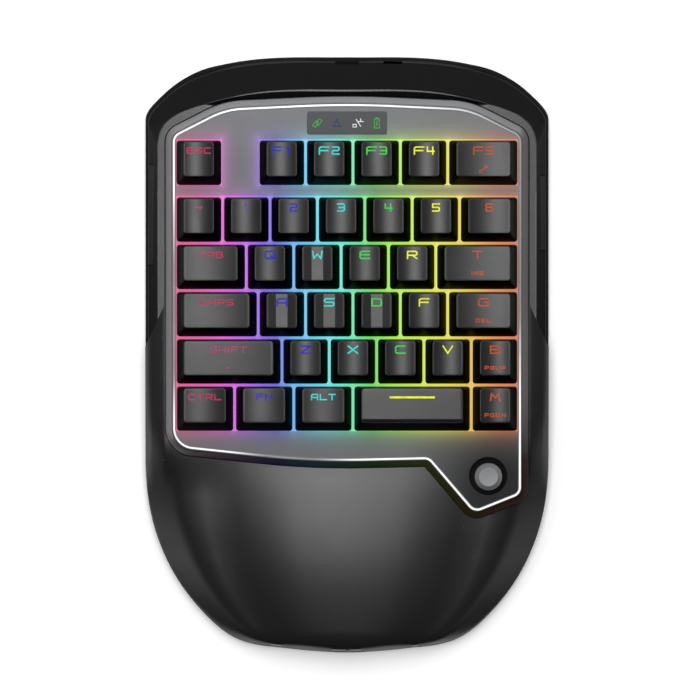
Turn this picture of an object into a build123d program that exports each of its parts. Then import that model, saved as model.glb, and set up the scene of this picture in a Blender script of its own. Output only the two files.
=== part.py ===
from build123d import *
import math
import os

os.makedirs("parts", exist_ok=True)

# One-handed keypad with a palm rest. Millimetres, +Z up, +Y to the rear, origin under the middle of the body.
# The deck carries the keys and is tilted, so most pieces are drawn flat in the deck's own frame: u to the
# right, v to the rear and w square to the panel, with w = 0 at the panel's top face.

# Key field
key_pitch = 19.05
key_gap = 1.05
key_travel = 4.0
field_units = 7.25
home_row_spacings = 3.2
rows_before_home = 2
status_band = 14.0
front_band = 11.8

# Deck
deck_tilt = 3.0
deck_height = 19.7
deck_margin = 0.7
deck_corner_round = 4.0
panel_thickness = 1.5
ring_width = 1.25
ring_foot_reach = 1.4
ring_foot_thickness = 1.2
bezel_width = 2.95
bezel_drop = 2.6
bezel_flange = 1.5

# Body
rail_width = 2.95
rail_thickness = 1.6
rail_rear_reach = 5.7
ledge_thickness = 1.5
side_slope_width = 5.15
rear_slope_width = 13.6
palm_length = 77.8
palm_height = 15.6
shell_wall = 2.2
outer_wall = 1.8
outer_shell_inset = 0.8
upper_shell_inset = 0.4
skirt_top_height = 10.0
foot_height = 2.0
cover_thickness = 2.4
cover_lip_height = 2.0
cover_lip_wall = 1.4
cover_lip_gap = 1.0

# Clearances
seat_clearance = 0.1
seam_clearance = 0.15
moving_clearance = 0.3
press_clearance = 0.02
pivot_clearance = 0.05
least_round = 0.3
overrun = 40.0

# Keycaps
cap_height = 9.0
cap_skirt_clearance = 1.4
cap_side_draw = 2.9
cap_front_draw = 3.1
cap_rear_draw = 0.55
cap_wall = 1.3
cap_top_wall = 1.6
cap_base_round = 0.6
cap_top_round = 1.5
dish_depth = 0.7
facet_share = 0.38
space_chamfer_depth = 2.4
space_chamfer_drop = 1.1

# Switches
cutout_side = 14.0
housing_side = 13.9
housing_flange_side = 15.6
housing_flange_thickness = 1.0
housing_upper_side = 14.4
housing_top_width = 10.8
housing_top_depth = 11.0
housing_top_height = 6.6
housing_depth = 5.0
housing_floor = 1.4
slider_width = 7.2
slider_depth = 5.5
slider_floor_gap = 0.6
slider_high = 6.9
cross_arm = 4.0
cross_thickness = 1.1
cross_height = 3.5
boss_radius = 2.7
spring_radius = 2.1
spring_wall = 0.4
spring_bore_radius = 2.3
spring_bore_top = 5.2
locating_pin_radius = 1.95
locating_pin_tail = 1.3
lamp_width = 2.8
lamp_depth = 1.4
lamp_height = 0.9
lamp_slot_width = 3.4
lamp_slot_depth = 2.0
lamp_offset = 5.2

# Stabilizers under the two widest caps
stabilizer_spacing = 11.94
stabilizer_width = 6.6
stabilizer_depth = 12.4
stabilizer_height = 4.8
stabilizer_floor = 0.9
guide_post_width = 3.2
guide_post_depth = 4.4
guide_post_floor_gap = 0.7

# Circuit boards and battery
board_thickness = 1.6
board_edge_inset = 2.2
board_post_radius = 2.5
battery_width = 64.0
battery_depth = 40.0
battery_gap = 1.2
battery_round = 3.0
port_board_width = 44.0
port_board_depth = 15.0
port_board_thickness = 1.2
port_pad_height = 1.6
port_pad_side = 6.0
socket_width = 9.0
socket_height = 3.2
socket_depth = 7.4
socket_wall = 0.4
socket_round = 1.4
socket_recess = 0.9
socket_tongue_thickness = 0.7
power_knob_width = 4.0
power_knob_height = 2.8
power_knob_proud = 0.6
power_travel = 3.0
power_flange_margin = 1.8
power_flange_rise = 0.9
power_flange_thickness = 1.2
power_place = 17.0

# Status window
window_width = 32.2
window_depth = 9.2
window_thickness = 0.9
window_round = 1.0
window_lip = 1.2
status_lamps = 4
status_lamp_pitch = 8.0

# Joystick
stick_hole_radius = 7.75
stick_cap_radius = 5.55
stick_cap_thickness = 2.8
stick_cap_lift = 3.5
stick_cap_round = 0.7
stick_dish_radius = 3.9
stick_dish_depth = 0.6
stick_bore_depth = 1.5
stick_shaft_radius = 1.8
stick_ball_share = 0.3
stick_ball_gap = 0.3
pivot_pin_radius = 0.9
gimbal_side = 11.0
gimbal_ball_gap = 0.5
gimbal_thickness = 2.4
gimbal_pin_reach = 1.9
stick_base_side = 16.0
stick_base_wall = 1.3
stick_base_lid = 0.8
stick_base_top_drop = 4.4
stick_base_mouth_radius = 4.5
stick_room_gap = 0.9

# Side buttons: bars in slots in the outer shell's flanks
button_floor_gap = 0.8
button_ledge_gap = 1.0
button_left_length = 41.2
button_right_length = 30.6
button_flange_margin = 0.9
button_flange_thickness = 1.2

# Fasteners and feet
screw_radius = 1.2
screw_head_radius = 2.5
screw_head_height = 1.4
screw_length = 8.0
screw_column_radius = 2.5
rear_screw_setback = 0.4
foot_length = 34.0
foot_width = 8.0
foot_seat = 0.6

# Worked out from the sizes above
cap_skirt_height = key_travel + cap_skirt_clearance
well_floor = housing_floor - housing_depth
slider_low = well_floor + key_travel + slider_floor_gap
guide_post_low = stabilizer_floor - housing_depth + key_travel + guide_post_floor_gap
field_width = field_units * key_pitch
field_depth = (home_row_spacings + rows_before_home + 1) * key_pitch
deck_half_width = field_width / 2 + deck_margin
deck_length = status_band + field_depth + front_band
bezel_outer = ring_width / 2 + bezel_width
pocket_growth = bezel_outer + seam_clearance
rail_half_width = deck_half_width + pocket_growth + rail_width
body_width = 2 * (rail_half_width + side_slope_width)
body_length = palm_length + deck_length + rail_rear_reach + rear_slope_width
deck_rear = body_length / 2 - rear_slope_width - rail_rear_reach
deck_front = deck_rear - deck_length
home_row = deck_rear - status_band - (home_row_spacings + 1 / 2) * key_pitch
cover_top = foot_height + cover_thickness
ring_depth = panel_thickness + ring_foot_thickness
flange_depth = ring_depth + bezel_flange
rail_bottom = bezel_drop + rail_thickness
ledge_bottom = flange_depth + ledge_thickness
board_bottom = housing_depth + board_thickness
battery_height = deck_height - cover_top - board_bottom - locating_pin_tail - battery_gap
stick_room = deck_height - cover_top - stick_base_top_drop - stick_room_gap
stick_ball_radius = stick_room * stick_ball_share
pivot_drop = stick_base_top_drop + stick_base_lid + stick_ball_radius
stick_base_floor_gap = stick_ball_radius + stick_ball_gap
gimbal_hole = 2 * (stick_ball_radius + gimbal_ball_gap)
button_room = deck_height - cover_top - ledge_bottom - button_floor_gap - button_ledge_gap
button_height = button_room - 2 * button_flange_margin
button_drop = ledge_bottom + button_ledge_gap + button_room / 2
deck_frame = Location((0, 0, deck_height), (deck_tilt, 0, 0))

# Outlines as shares of the sizes that they follow
deck_outline_shares = [
    (-1.0, 0.041),
    (-0.20, 0.0),
    (0.473, 0.007),
    (0.737, -0.143),
    (1.0, -0.092),
    (1.0, 0.910),
    (0.70, 0.984),
    (0.0, 1.0),
    (-0.70, 0.984),
    (-1.0, 0.910),
]
deck_round_shares = [2.0, 100.0, 1.0, 1.0, 0.9, 1.0, 8.0, 100.0, 8.0, 1.0]
deck_run_share = 0.45
rail_rear_shares = [(1.0, 0.845), (0.974, 0.899), (0.794, 0.9545), (0.482, 0.9926)]
body_rear_shares = [(1.0, 0.789), (0.941, 0.856), (0.822, 0.923), (0.609, 0.977)]
body_front_shares = [
    (1.0, -0.353),
    (0.955, -0.581),
    (0.851, -0.742),
    (0.767, -0.822),
    (0.683, -0.883),
    (0.574, -0.943),
    (0.51, -0.963),
    (0.332, -0.983),
]
end_speed_shares = [1.0, 1.0]
skirt_mix_share = 0.12
step_share = 0.319
diagonal_share = 0.395

# Palm rest: each row gives the station along the length, then (across, height) shares from the middle outwards
palm_section_shares = [
    (0.14, [(0.0, 1.155), (0.45, 1.155), (0.78, 1.155), (0.88, 1.15), (0.96, 1.02), (1.02, 0.74)]),
    (-0.20, [(0.0, 1.01), (0.45, 1.01), (0.78, 1.01), (0.88, 1.01), (0.96, 0.90), (1.02, 0.62)]),
    (-0.38, [(0.0, 0.94), (0.45, 0.94), (0.775, 0.915), (0.87, 0.945), (0.95, 0.84), (1.01, 0.56)]),
    (-0.54, [(0.0, 1.0), (0.42, 0.975), (0.71, 0.87), (0.82, 0.90), (0.92, 0.78), (0.99, 0.50)]),
    (-0.75, [(0.0, 0.91), (0.38, 0.88), (0.63, 0.75), (0.73, 0.77), (0.82, 0.66), (0.87, 0.44)]),
    (-0.915, [(0.0, 0.66), (0.34, 0.63), (0.57, 0.53), (0.64, 0.53), (0.70, 0.47), (0.75, 0.40)]),
    (-1.02, [(0.0, 0.37), (0.30, 0.36), (0.53, 0.35), (0.60, 0.35), (0.66, 0.34), (0.71, 0.33)]),
]

# Places as shares
stick_place_shares = (0.817, -0.043)
rail_screw_shares = [0.35, 0.865]
rear_screw_share = 0.40
palm_screw_shares = [(0.0, -0.70), (-0.55, -0.62), (0.55, -0.62)]
foot_place_shares = [(-0.58, 0.78), (0.58, 0.78), (-0.80, -0.16), (0.80, -0.16), (0.0, -0.90)]
foot_turn_shares = [0, 0, 1, 1, 0]
post_place_shares = [(-0.62, 0.5), (0.62, 0.5), (-0.62, 2.6), (0.62, 2.6), (-0.30, -1.5), (0.30, -1.5)]
battery_row_share = 1.1
button_centre_shares = (0.687, 0.692)

# The key field, row by row: how many pitches the row lies behind the home row, then each key with its width in units
key_rows = [
    (home_row_spacings, [("esc", 1.0), (None, 0.75), ("f1", 1.0), ("f2", 1.0), ("f3", 1.0), ("f4", 1.0), ("f5", 1.5)]),
    (2.0, [("grave", 1.0), ("1", 1.0), ("2", 1.0), ("3", 1.0), ("4", 1.0), ("5", 1.0), ("6", 1.25)]),
    (1.0, [("tab", 1.5), ("q", 1.0), ("w", 1.0), ("e", 1.0), ("r", 1.0), ("t", 1.75)]),
    (0.0, [("caps", 1.75), ("a", 1.0), ("s", 1.0), ("d", 1.0), ("f", 1.0), ("g", 1.5)]),
    (-1.0, [("shift", 2.25), ("z", 1.0), ("x", 1.0), ("c", 1.0), ("v", 1.0), ("b", 1.0)]),
    (-2.0, [("ctrl", 1.25), ("fn", 1.25), ("alt", 1.25), ("space", 2.5), ("m", 1.0)]),
]
faceted_keys = ["w", "a", "s", "d"]
stabilized_keys = ["shift", "space"]


def key_places():
    """Every key as (name, units, u, v), read from the rows and the pitch."""
    places = []
    for spacings, keys in key_rows:
        left = -field_width / 2
        for name, units in keys:
            width = units * key_pitch
            if name is not None:
                places.append((name, units, left + width / 2, home_row + spacings * key_pitch))
            left += width
    return places


def save(name, *shapes):
    """Write the shapes' solids to one file, as the node called name."""
    solids = [solid for shape in shapes for solid in shape.solids()]
    export_step(Compound(solids), f"parts/{name}.step")
    print(name, len(solids), round(sum(solid.volume for solid in solids), 1))


def block(width, depth, low, high, u=0, v=0):
    """A box centred on (u, v) from low to high."""
    return Pos(u, v, (low + high) / 2) * Box(width, depth, high - low)


def rod(radius, low, high, u=0, v=0):
    """A round bar along the third axis, centred on (u, v), from low to high."""
    return Pos(u, v, (low + high) / 2) * Cylinder(radius, high - low)


def prism(face, low, high):
    """A flat face drawn at zero, raised from low to high."""
    return Pos(0, 0, low) * extrude(face, amount=high - low, dir=(0, 0, 1))


def run_between(start, end):
    """The unit direction and the length from one point to the next."""
    length = math.dist(start, end)
    return ((end[0] - start[0]) / length, (end[1] - start[1]) / length), length


def rounded_face(points, radii, growth=0):
    """A face inside a rounded polygon, listed anticlockwise, with every side moved out by growth."""
    corners = []
    rounds = []
    for index, point in enumerate(points):
        into, run_in = run_between(points[index - 1], point)
        onward, run_out = run_between(point, points[(index + 1) % len(points)])
        cosine = into[0] * onward[0] + into[1] * onward[1]
        side = 1 if into[0] * onward[1] - into[1] * onward[0] > 0 else -1
        half_turn = math.acos(cosine) / 2
        largest = deck_run_share * min(run_in, run_out) / math.tan(half_turn)
        radius = min(radii[index], largest) + side * growth
        reach = growth / (1 + cosine)
        corners.append((
            point[0] + reach * (into[1] + onward[1]),
            point[1] - reach * (into[0] + onward[0]),
        ))
        rounds.append(max(radius, least_round))
    return make_face(FilletPolyline(*corners, radius=rounds, close=True))


def deck_face(growth=0):
    """The deck's outline along the middle of the light ring, moved out by growth."""
    points = [(deck_half_width * u, deck_front + deck_length * v) for u, v in deck_outline_shares]
    radii = [deck_corner_round * share for share in deck_round_shares]
    return rounded_face(points, radii, growth)


def mirrored(half_points, middle):
    """A left-to-right list of points from those of the right half, listed from the side to the middle."""
    left = [(-x, y) for x, y in half_points]
    return left + [middle] + half_points[::-1]


def rear_points(shares, half_width, reach, start=0):
    """The rear curve's points: across as a share of half_width, back as a share of reach from start."""
    half = [(half_width * x, start + reach * y) for x, y in shares]
    return mirrored(half, (0, start + reach))


def arch_face(curve, front, height=0):
    """A face with a straight front, two straight sides and the rear curve, as four edges."""
    points = [Vector(x, y, height) for x, y in curve]
    left_front = Vector(points[0].X, front, height)
    right_front = Vector(points[-1].X, front, height)
    edges = [
        Line(left_front, points[0]),
        Spline(*points, tangents=[(0, 1, 0), (0, -1, 0)], tangent_scalars=end_speed_shares),
        Line(points[-1], right_front),
        Line(right_front, left_front),
    ]
    return make_face(Wire(edges))


def body_face(inset=0):
    """The body's plan outline, with both half sizes less inset."""
    half_width = body_width / 2 - inset
    half_length = body_length / 2 - inset
    rear = rear_points(body_rear_shares, half_width, half_length)
    right = [(half_width * x, half_length * y) for x, y in body_front_shares]
    front = right + [(0, -half_length)] + [(-x, y) for x, y in right[::-1]]
    edges = [
        Line(front[-1], rear[0]),
        Spline(*rear, tangents=[(0, 1), (0, -1)], tangent_scalars=end_speed_shares),
        Line(rear[-1], front[0]),
        Spline(*front, tangents=[(0, -1), (0, 1)], tangent_scalars=end_speed_shares),
    ]
    return make_face(Wire(edges))


def rail_curve(inset=0):
    """The rail's outer edge at the rear, in the deck frame."""
    reach = deck_length + rail_rear_reach
    return rear_points(rail_rear_shares, rail_half_width - inset, reach - inset, deck_front)


def outer_loft(inset=0):
    """The outer shell's envelope: a near-upright skirt under a slope that ends at the rail."""
    end = deck_front
    half_width = body_width / 2 - outer_shell_inset - inset
    half_length = body_length / 2 - outer_shell_inset - inset
    low_curve = rear_points(body_rear_shares, half_width, half_length)
    high_curve = rail_curve(inset)
    middle_curve = [
        (low[0] + (high[0] - low[0]) * skirt_mix_share, low[1] + (high[1] - low[1]) * skirt_mix_share)
        for low, high in zip(low_curve, high_curve)
    ]
    low_face = arch_face(low_curve, end, cover_top)
    middle_face = arch_face(middle_curve, end, skirt_top_height)
    high_face = deck_frame * Pos(0, 0, -rail_bottom - seat_clearance) * arch_face(high_curve, end)
    lower = loft([low_face, middle_face], ruled=True)
    upper = loft([middle_face, high_face], ruled=True)
    return lower + upper


def front_region(growth=0):
    """The plan area of the palm rest and its flanks, ahead of the two slanted joints with the outer shell."""
    wide = body_width / 2 + overrun
    far = body_length / 2 + overrun
    step = deck_front + deck_length * step_share + growth
    diagonal = deck_front + deck_length * diagonal_share + growth
    points = [
        (-wide, -far),
        (wide, -far),
        (wide, step),
        (body_width / 2, step),
        (rail_half_width, diagonal),
        (-rail_half_width, diagonal),
        (-body_width / 2, step),
        (-wide, step),
    ]
    return prism(make_face(Polyline(*points, close=True)), 0, deck_height + overrun)


def palm_block(drop=0, inset=0):
    """The palm rest as a full block, with its top lowered by drop and its walls moved in by inset."""
    sections = []
    base = cover_top - drop
    for station, shares in palm_section_shares:
        y = body_length / 2 * station
        right = [(body_width / 2 * x, palm_height * z - drop) for x, z in shares]
        across = [(-x, z) for x, z in right[:0:-1]] + right
        points = [Vector(x, y, z) for x, z in across]
        low_left = Vector(points[0].X, y, base)
        low_right = Vector(points[-1].X, y, base)
        edges = [
            Spline(*points),
            Line(points[-1], low_right),
            Line(low_right, low_left),
            Line(low_left, points[0]),
        ]
        sections.append(make_face(Wire(edges)))
    outline = prism(body_face(upper_shell_inset + inset), 0, deck_height + overrun)
    return loft(sections) & outline


def keycap_block(units, inset, low, high):
    """A keycap's drawn-in block between two heights above its skirt, with its walls moved in by inset."""
    sections = []
    for height, rounding in [(low, cap_base_round), (high, cap_top_round)]:
        share = height / cap_height
        width = units * key_pitch - key_gap - 2 * (inset + cap_side_draw * share)
        depth = key_pitch - key_gap - 2 * inset - (cap_front_draw + cap_rear_draw) * share
        shift = (cap_front_draw - cap_rear_draw) / 2 * share
        radius = max(rounding - inset, least_round)
        sections.append(Pos(0, shift, height) * RectangleRounded(width, depth, radius))
    return loft(sections, ruled=True)


def cap_top_cut(name, units):
    """What the finger's hollow takes off a keycap: a round dish, a faceted dish, or a slanted front edge."""
    half = (units * key_pitch - key_gap) / 2 - cap_side_draw
    if name in faceted_keys:
        flat = half * facet_share
        low = cap_height - dish_depth
        high = cap_height + overrun
        points = [(-flat, low), (flat, low), (half, cap_height), (half, high), (-half, high), (-half, cap_height)]
        face = make_face(Polyline(*points, close=True))
        return Rot(90, 0, 0) * prism(face, -overrun, overrun)
    if name == "space":
        front = -(key_pitch - key_gap) / 2 + cap_front_draw
        points = [
            (front - space_chamfer_depth, cap_height - 2 * space_chamfer_drop),
            (front + space_chamfer_depth, cap_height),
            (front + space_chamfer_depth, cap_height + overrun),
            (front - space_chamfer_depth, cap_height + overrun),
        ]
        face = make_face(Polyline(*points, close=True))
        return Rot(90, 0, 90) * prism(face, -overrun, overrun)
    radius = (half**2 + dish_depth**2) / (2 * dish_depth)
    return Pos(0, 0, cap_height + radius - dish_depth) * Rot(90, 0, 0) * Cylinder(radius, key_pitch + overrun)


def cross(arm, thickness, low, high):
    """A plus-shaped post."""
    return block(arm, thickness, low, high) + block(thickness, arm, low, high)


def make_key(name, units):
    """One keycap and its switch stem, drawn over the switch's centre."""
    cap = keycap_block(units, 0, 0, cap_height) - cap_top_cut(name, units)
    ceiling = cap_height - cap_top_wall
    cap -= keycap_block(units, cap_wall, 0, ceiling)
    boss_low = slider_high - cap_skirt_height
    boss = rod(boss_radius, boss_low, ceiling)
    socket_side = cross_arm + 2 * press_clearance
    socket_thickness = cross_thickness + 2 * press_clearance
    boss -= cross(socket_side, socket_thickness, boss_low, boss_low + cross_height + press_clearance)
    cap += boss
    if name in stabilized_keys:
        for side in (-1, 1):
            post_low = guide_post_low - cap_skirt_height
            cap += block(guide_post_width, guide_post_depth, post_low, ceiling, side * stabilizer_spacing)
    stem = block(slider_width, slider_depth, slider_low, slider_high)
    stem += cross(cross_arm, cross_thickness, slider_high, slider_high + cross_height)
    stem -= rod(spring_bore_radius, slider_low, spring_bore_top)
    return Pos(0, 0, cap_skirt_height) * cap, stem


def make_switch_housing():
    """One switch housing, clipped into the panel, with its slider well, lamp slot and locating pin."""
    lower = block(housing_side, housing_side, -housing_depth, 0)
    flange = block(housing_flange_side, housing_flange_side, 0, housing_flange_thickness)
    wide = Pos(0, 0, housing_flange_thickness) * Rectangle(housing_upper_side, housing_upper_side)
    narrow = Pos(0, 0, housing_top_height) * Rectangle(housing_top_width, housing_top_depth)
    housing = lower + flange + loft([wide, narrow], ruled=True)
    housing += rod(locating_pin_radius, -board_bottom - locating_pin_tail, -housing_depth)
    well_width = slider_width + 2 * moving_clearance
    well_depth = slider_depth + 2 * moving_clearance
    housing -= block(well_width, well_depth, well_floor, housing_top_height)
    housing -= block(lamp_slot_width, lamp_slot_depth, -housing_depth, housing_top_height, 0, lamp_offset)
    return housing


def make_spring():
    """One switch spring as a plain sleeve of the coil's size, from the well's floor to the stem."""
    high = spring_bore_top - seat_clearance
    return rod(spring_radius, well_floor, high) - rod(spring_radius - spring_wall, well_floor, high)


def make_stabilizer():
    """One stabilizer housing with the well that its guide post slides in."""
    body = block(stabilizer_width, stabilizer_depth, -housing_depth, stabilizer_height)
    well_width = guide_post_width + 2 * moving_clearance
    well_depth = guide_post_depth + 2 * moving_clearance
    return body - block(well_width, well_depth, stabilizer_floor - housing_depth, stabilizer_height)


def stick_centre():
    """The joystick's centre in the deck frame."""
    return deck_half_width * stick_place_shares[0], deck_front + deck_length * stick_place_shares[1]


def make_top_panel(places):
    """The metal panel that carries the switches, the window and the joystick's hole."""
    panel = prism(deck_face(-ring_width / 2 - seat_clearance), -panel_thickness, 0)
    for name, units, u, v in places:
        panel -= block(cutout_side, cutout_side, -panel_thickness, 0, u, v)
        if name in stabilized_keys:
            width = stabilizer_width + 2 * seat_clearance
            depth = stabilizer_depth + 2 * seat_clearance
            for side in (-1, 1):
                panel -= block(width, depth, -panel_thickness, 0, u + side * stabilizer_spacing, v)
    u, v = stick_centre()
    panel -= rod(stick_hole_radius, -panel_thickness, 0, u, v)
    centre = deck_rear - status_band / 2 - deck_margin
    seat = RectangleRounded(window_width + 2 * seat_clearance, window_depth + 2 * seat_clearance, window_round)
    opening = Rectangle(window_width - 2 * window_lip, window_depth - 2 * window_lip)
    panel -= Pos(0, centre, 0) * prism(seat, -window_thickness, 0)
    panel -= Pos(0, centre, 0) * prism(opening, -panel_thickness, 0)
    window = Pos(0, centre, 0) * prism(RectangleRounded(window_width, window_depth, window_round), -window_thickness, 0)
    return panel, window, centre


def make_light_ring():
    """The light guide round the panel: an upright strip on a foot that runs under the panel's edge."""
    strip = prism(deck_face(ring_width / 2), -ring_depth, 0)
    strip -= prism(deck_face(-ring_width / 2), -panel_thickness, 0)
    return strip - prism(deck_face(-ring_width / 2 - ring_foot_reach), -ring_depth, 0)


def make_bezel_frame():
    """The sloping frame round the light ring, with the flange that the ring stands on."""
    inner = deck_face(ring_width / 2 + seat_clearance)
    outer = deck_face(bezel_outer)
    slope = loft([Pos(0, 0, -bezel_drop) * outer, inner], ruled=True)
    frame = slope + prism(outer, -flange_depth, -bezel_drop)
    frame -= prism(inner, -ring_depth, overrun)
    return frame - prism(deck_face(-ring_width / 2 - ring_foot_reach), -flange_depth, 0)


def column_places():
    """Where the case screws stand, as (x, y, is it under the rail)."""
    rail_x = deck_half_width + (pocket_growth + seam_clearance) / 2
    places = []
    for share in rail_screw_shares:
        for side in (-1, 1):
            places.append((side * rail_x, deck_front + deck_length * share, True))
    rear_y = deck_rear + rear_screw_setback
    for side in (-1, 1):
        places.append((side * deck_half_width * rear_screw_share, rear_y, True))
    for x, y in palm_screw_shares:
        places.append((body_width / 2 * x, body_length / 2 * y, False))
    return places


def below_deck(depth):
    """Everything under a plane parallel to the panel, depth below its top face."""
    reach = body_length + overrun
    return deck_frame * block(reach, reach, -depth - deck_height - overrun, -depth)


def make_upper_shell():
    """The palm rest, its flanks and the rail round the deck, with the ledge that the bezel stands on."""
    region = front_region()
    palm = palm_block()
    shell = (palm - palm_block(shell_wall, shell_wall)) & region
    split = deck_front + deck_length * diagonal_share - ledge_thickness
    ahead = block(body_width, deck_length, -ledge_bottom, -bezel_drop, 0, split - deck_length / 2)
    behind = split - ledge_thickness
    around = pocket_growth + rail_width
    front_ring = prism(deck_face(around), -ledge_bottom, -bezel_drop) & ahead
    rear_rail = prism(arch_face(rail_curve(), behind), -rail_bottom, -bezel_drop)
    ledge_inset = outer_wall + seat_clearance
    rear_ledge = prism(arch_face(rail_curve(ledge_inset), behind), -ledge_bottom, -rail_bottom)
    shell += deck_frame * (front_ring + rear_rail + rear_ledge)
    shell -= deck_frame * prism(deck_face(pocket_growth), -flange_depth, overrun)
    shell -= deck_frame * prism(deck_face(seam_clearance + seat_clearance), -overrun, overrun)
    under_rail = below_deck(flange_depth)
    for x, y, on_rail in column_places():
        column = rod(screw_column_radius, cover_top, deck_height + overrun, x, y)
        shell += column & (under_rail if on_rail else palm)
    for x, y, on_rail in column_places():
        top = foot_height + screw_head_height + screw_length + seat_clearance
        shell -= rod(screw_radius + pivot_clearance, cover_top, top, x, y)
    return shell


def button_box(side, length, height, margin=0):
    """The space of a side button's slot, grown by margin along and up."""
    centre = deck_front + deck_length * button_centre_shares[0 if side < 0 else 1]
    span = length + 2 * margin
    tall = height + 2 * margin
    middle = rail_half_width + side_slope_width / 2
    bar = Box(overrun, span, tall)
    return deck_frame * Pos(side * middle, centre, -button_drop) * bar


def rear_skirt(x, z):
    """How far back the outer shell's rear skirt reaches at x, at a height z between its two lowest edges."""
    across, back = body_rear_shares[-1]
    fall = (1 - back) * (2 * x / body_width / across) ** 2
    lean = skirt_mix_share * (rear_slope_width - outer_shell_inset)
    rise_share = (z - cover_top) / (skirt_top_height - cover_top)
    return (body_length / 2 - outer_shell_inset) * (1 - fall) - lean * rise_share


def socket_low():
    """The height of the cable socket's underside, on the port board."""
    return cover_top + port_pad_height + port_board_thickness


def socket_mouth():
    """How far back the cable socket's mouth lies."""
    return rear_skirt(0, socket_low() + socket_height) - socket_recess


def make_outer_shell(outer, inner):
    """The dark shell round the sides and rear, with the slots for the side buttons, cable and power slider."""
    shell = outer - inner - front_region(seam_clearance)
    for side, length in [(-1, button_left_length), (1, button_right_length)]:
        shell -= button_box(side, length, button_height)
    middle = socket_low() + socket_height / 2
    hole_width = socket_width + 2 * moving_clearance
    hole_height = socket_height + 2 * moving_clearance
    shell -= Pos(0, body_length / 2, middle) * Box(hole_width, overrun, hole_height)
    slot_width = power_knob_width + power_travel + 2 * moving_clearance
    slot_height = power_knob_height + 2 * moving_clearance
    slot_x = power_place + power_travel / 2
    return shell - Pos(slot_x, body_length / 2, middle) * Box(slot_width, overrun, slot_height)


def make_side_button(side, length, outer, inner, back_outer, back_inner):
    """One side button: a bar flush with the shell, and a flange that keeps it in its slot."""
    bar = (outer - back_inner) & button_box(side, length - 2 * moving_clearance, button_height - 2 * moving_clearance)
    flange = (back_outer - back_inner) & button_box(side, length, button_height, button_flange_margin)
    return bar + flange


def make_power_slider():
    """The power slider: a knob through its slot and a flange behind the wall."""
    middle = socket_low() + socket_height / 2
    flange_half = power_knob_width / 2 + power_travel + power_flange_margin
    wall = rear_skirt(power_place + flange_half, middle + power_knob_height / 2 + power_flange_margin) - outer_wall
    back = wall - moving_clearance - power_flange_thickness
    front = wall + outer_wall + power_knob_proud
    knob_y = (back + front) / 2
    knob = Pos(power_place, knob_y, middle) * Box(power_knob_width, front - back, power_knob_height)
    width = power_knob_width + power_travel + 2 * power_flange_margin
    height = power_knob_height + 2 * power_flange_rise
    flange = Pos(power_place, back + power_flange_thickness / 2, middle)
    return knob + flange * Box(width, power_flange_thickness, height)


def make_usb_socket():
    """The cable socket: a rounded metal tube, shut at the back, with the contact tongue inside."""
    shape = Rot(-90, 0, 0) * extrude(RectangleRounded(socket_width, socket_height, socket_round), amount=socket_depth)
    inner_width = socket_width - 2 * socket_wall
    inner_height = socket_height - 2 * socket_wall
    inner_round = socket_round - socket_wall
    hollow = RectangleRounded(inner_width, inner_height, inner_round)
    shape -= Pos(0, socket_wall, 0) * Rot(-90, 0, 0) * extrude(hollow, amount=socket_depth)
    tongue_depth = socket_depth - 2 * socket_wall
    tongue_width = inner_width - 2 * socket_round
    shape += Pos(0, tongue_depth / 2, 0) * Box(tongue_width, tongue_depth, socket_tongue_thickness)
    start = socket_mouth() - socket_depth
    return Pos(0, start, socket_low() + socket_height / 2) * shape


def foot_shape(growth, low, high, index):
    """One foot or its seat: a bar with round ends, turned along the body where its place asks for it."""
    x, y = foot_place_shares[index]
    turn = 90 * foot_turn_shares[index]
    outline = SlotOverall(foot_length + 2 * growth, foot_width + 2 * growth)
    return Pos(body_width / 2 * x, body_length / 2 * y, 0) * Rot(0, 0, turn) * prism(outline, low, high)


def make_bottom_cover():
    """The flat cover with its locating lip, board posts, port pads, screw holes and foot seats."""
    cover = prism(body_face(), foot_height, cover_top)
    lip_out = outer_shell_inset + outer_wall + cover_lip_gap
    lip_top = cover_top + cover_lip_height
    lip = prism(body_face(lip_out), cover_top, lip_top)
    lip -= prism(body_face(lip_out + cover_lip_wall), cover_top, lip_top)
    cover += lip & block(body_width, body_length, cover_top, lip_top, 0, deck_front + body_length / 2)
    above = block(body_width, body_length, foot_height + cover_thickness / 2, deck_height + overrun)
    for u, spacings in post_place_shares:
        v = home_row + spacings * key_pitch
        post = rod(board_post_radius, -deck_height - overrun, -board_bottom, deck_half_width * u, v)
        cover += (deck_frame * post) & above
    for side in (-1, 1):
        x = side * (port_board_width - port_pad_side) / 2
        cover += block(port_pad_side, port_pad_side, cover_top, cover_top + port_pad_height, x, port_board_y())
    for x, y, on_rail in column_places():
        cover -= rod(screw_radius + moving_clearance, foot_height, cover_top, x, y)
        cover -= rod(screw_head_radius + seat_clearance, foot_height, foot_height + screw_head_height, x, y)
        space = screw_column_radius + moving_clearance
        cover -= rod(space, cover_top, cover_top + cover_lip_height, x, y)
    for index in range(len(foot_place_shares)):
        cover -= foot_shape(seat_clearance, foot_height, foot_height + foot_seat, index)
    return cover


def port_board_y():
    """The middle of the port board, whose rear edge lies under the socket."""
    return socket_mouth() - socket_depth / 2 - port_board_depth / 2


def make_screw(x, y):
    """One case screw, head down."""
    seat = foot_height + screw_head_height
    return rod(screw_head_radius, foot_height, seat, x, y) + rod(screw_radius, seat, seat + screw_length, x, y)


def make_circuit_board(places):
    """The main board under the switches, with a hole for each locating pin and no lobe for the joystick."""
    board = prism(deck_face(-board_edge_inset), -board_bottom, -housing_depth)
    reach = body_width + overrun
    lobe_v = deck_front - reach / 2 + board_edge_inset
    board -= block(reach, reach, -board_bottom, -housing_depth, 0, lobe_v)
    for name, units, u, v in places:
        board -= rod(locating_pin_radius + seat_clearance, -board_bottom, -housing_depth, u, v)
    return board


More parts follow.
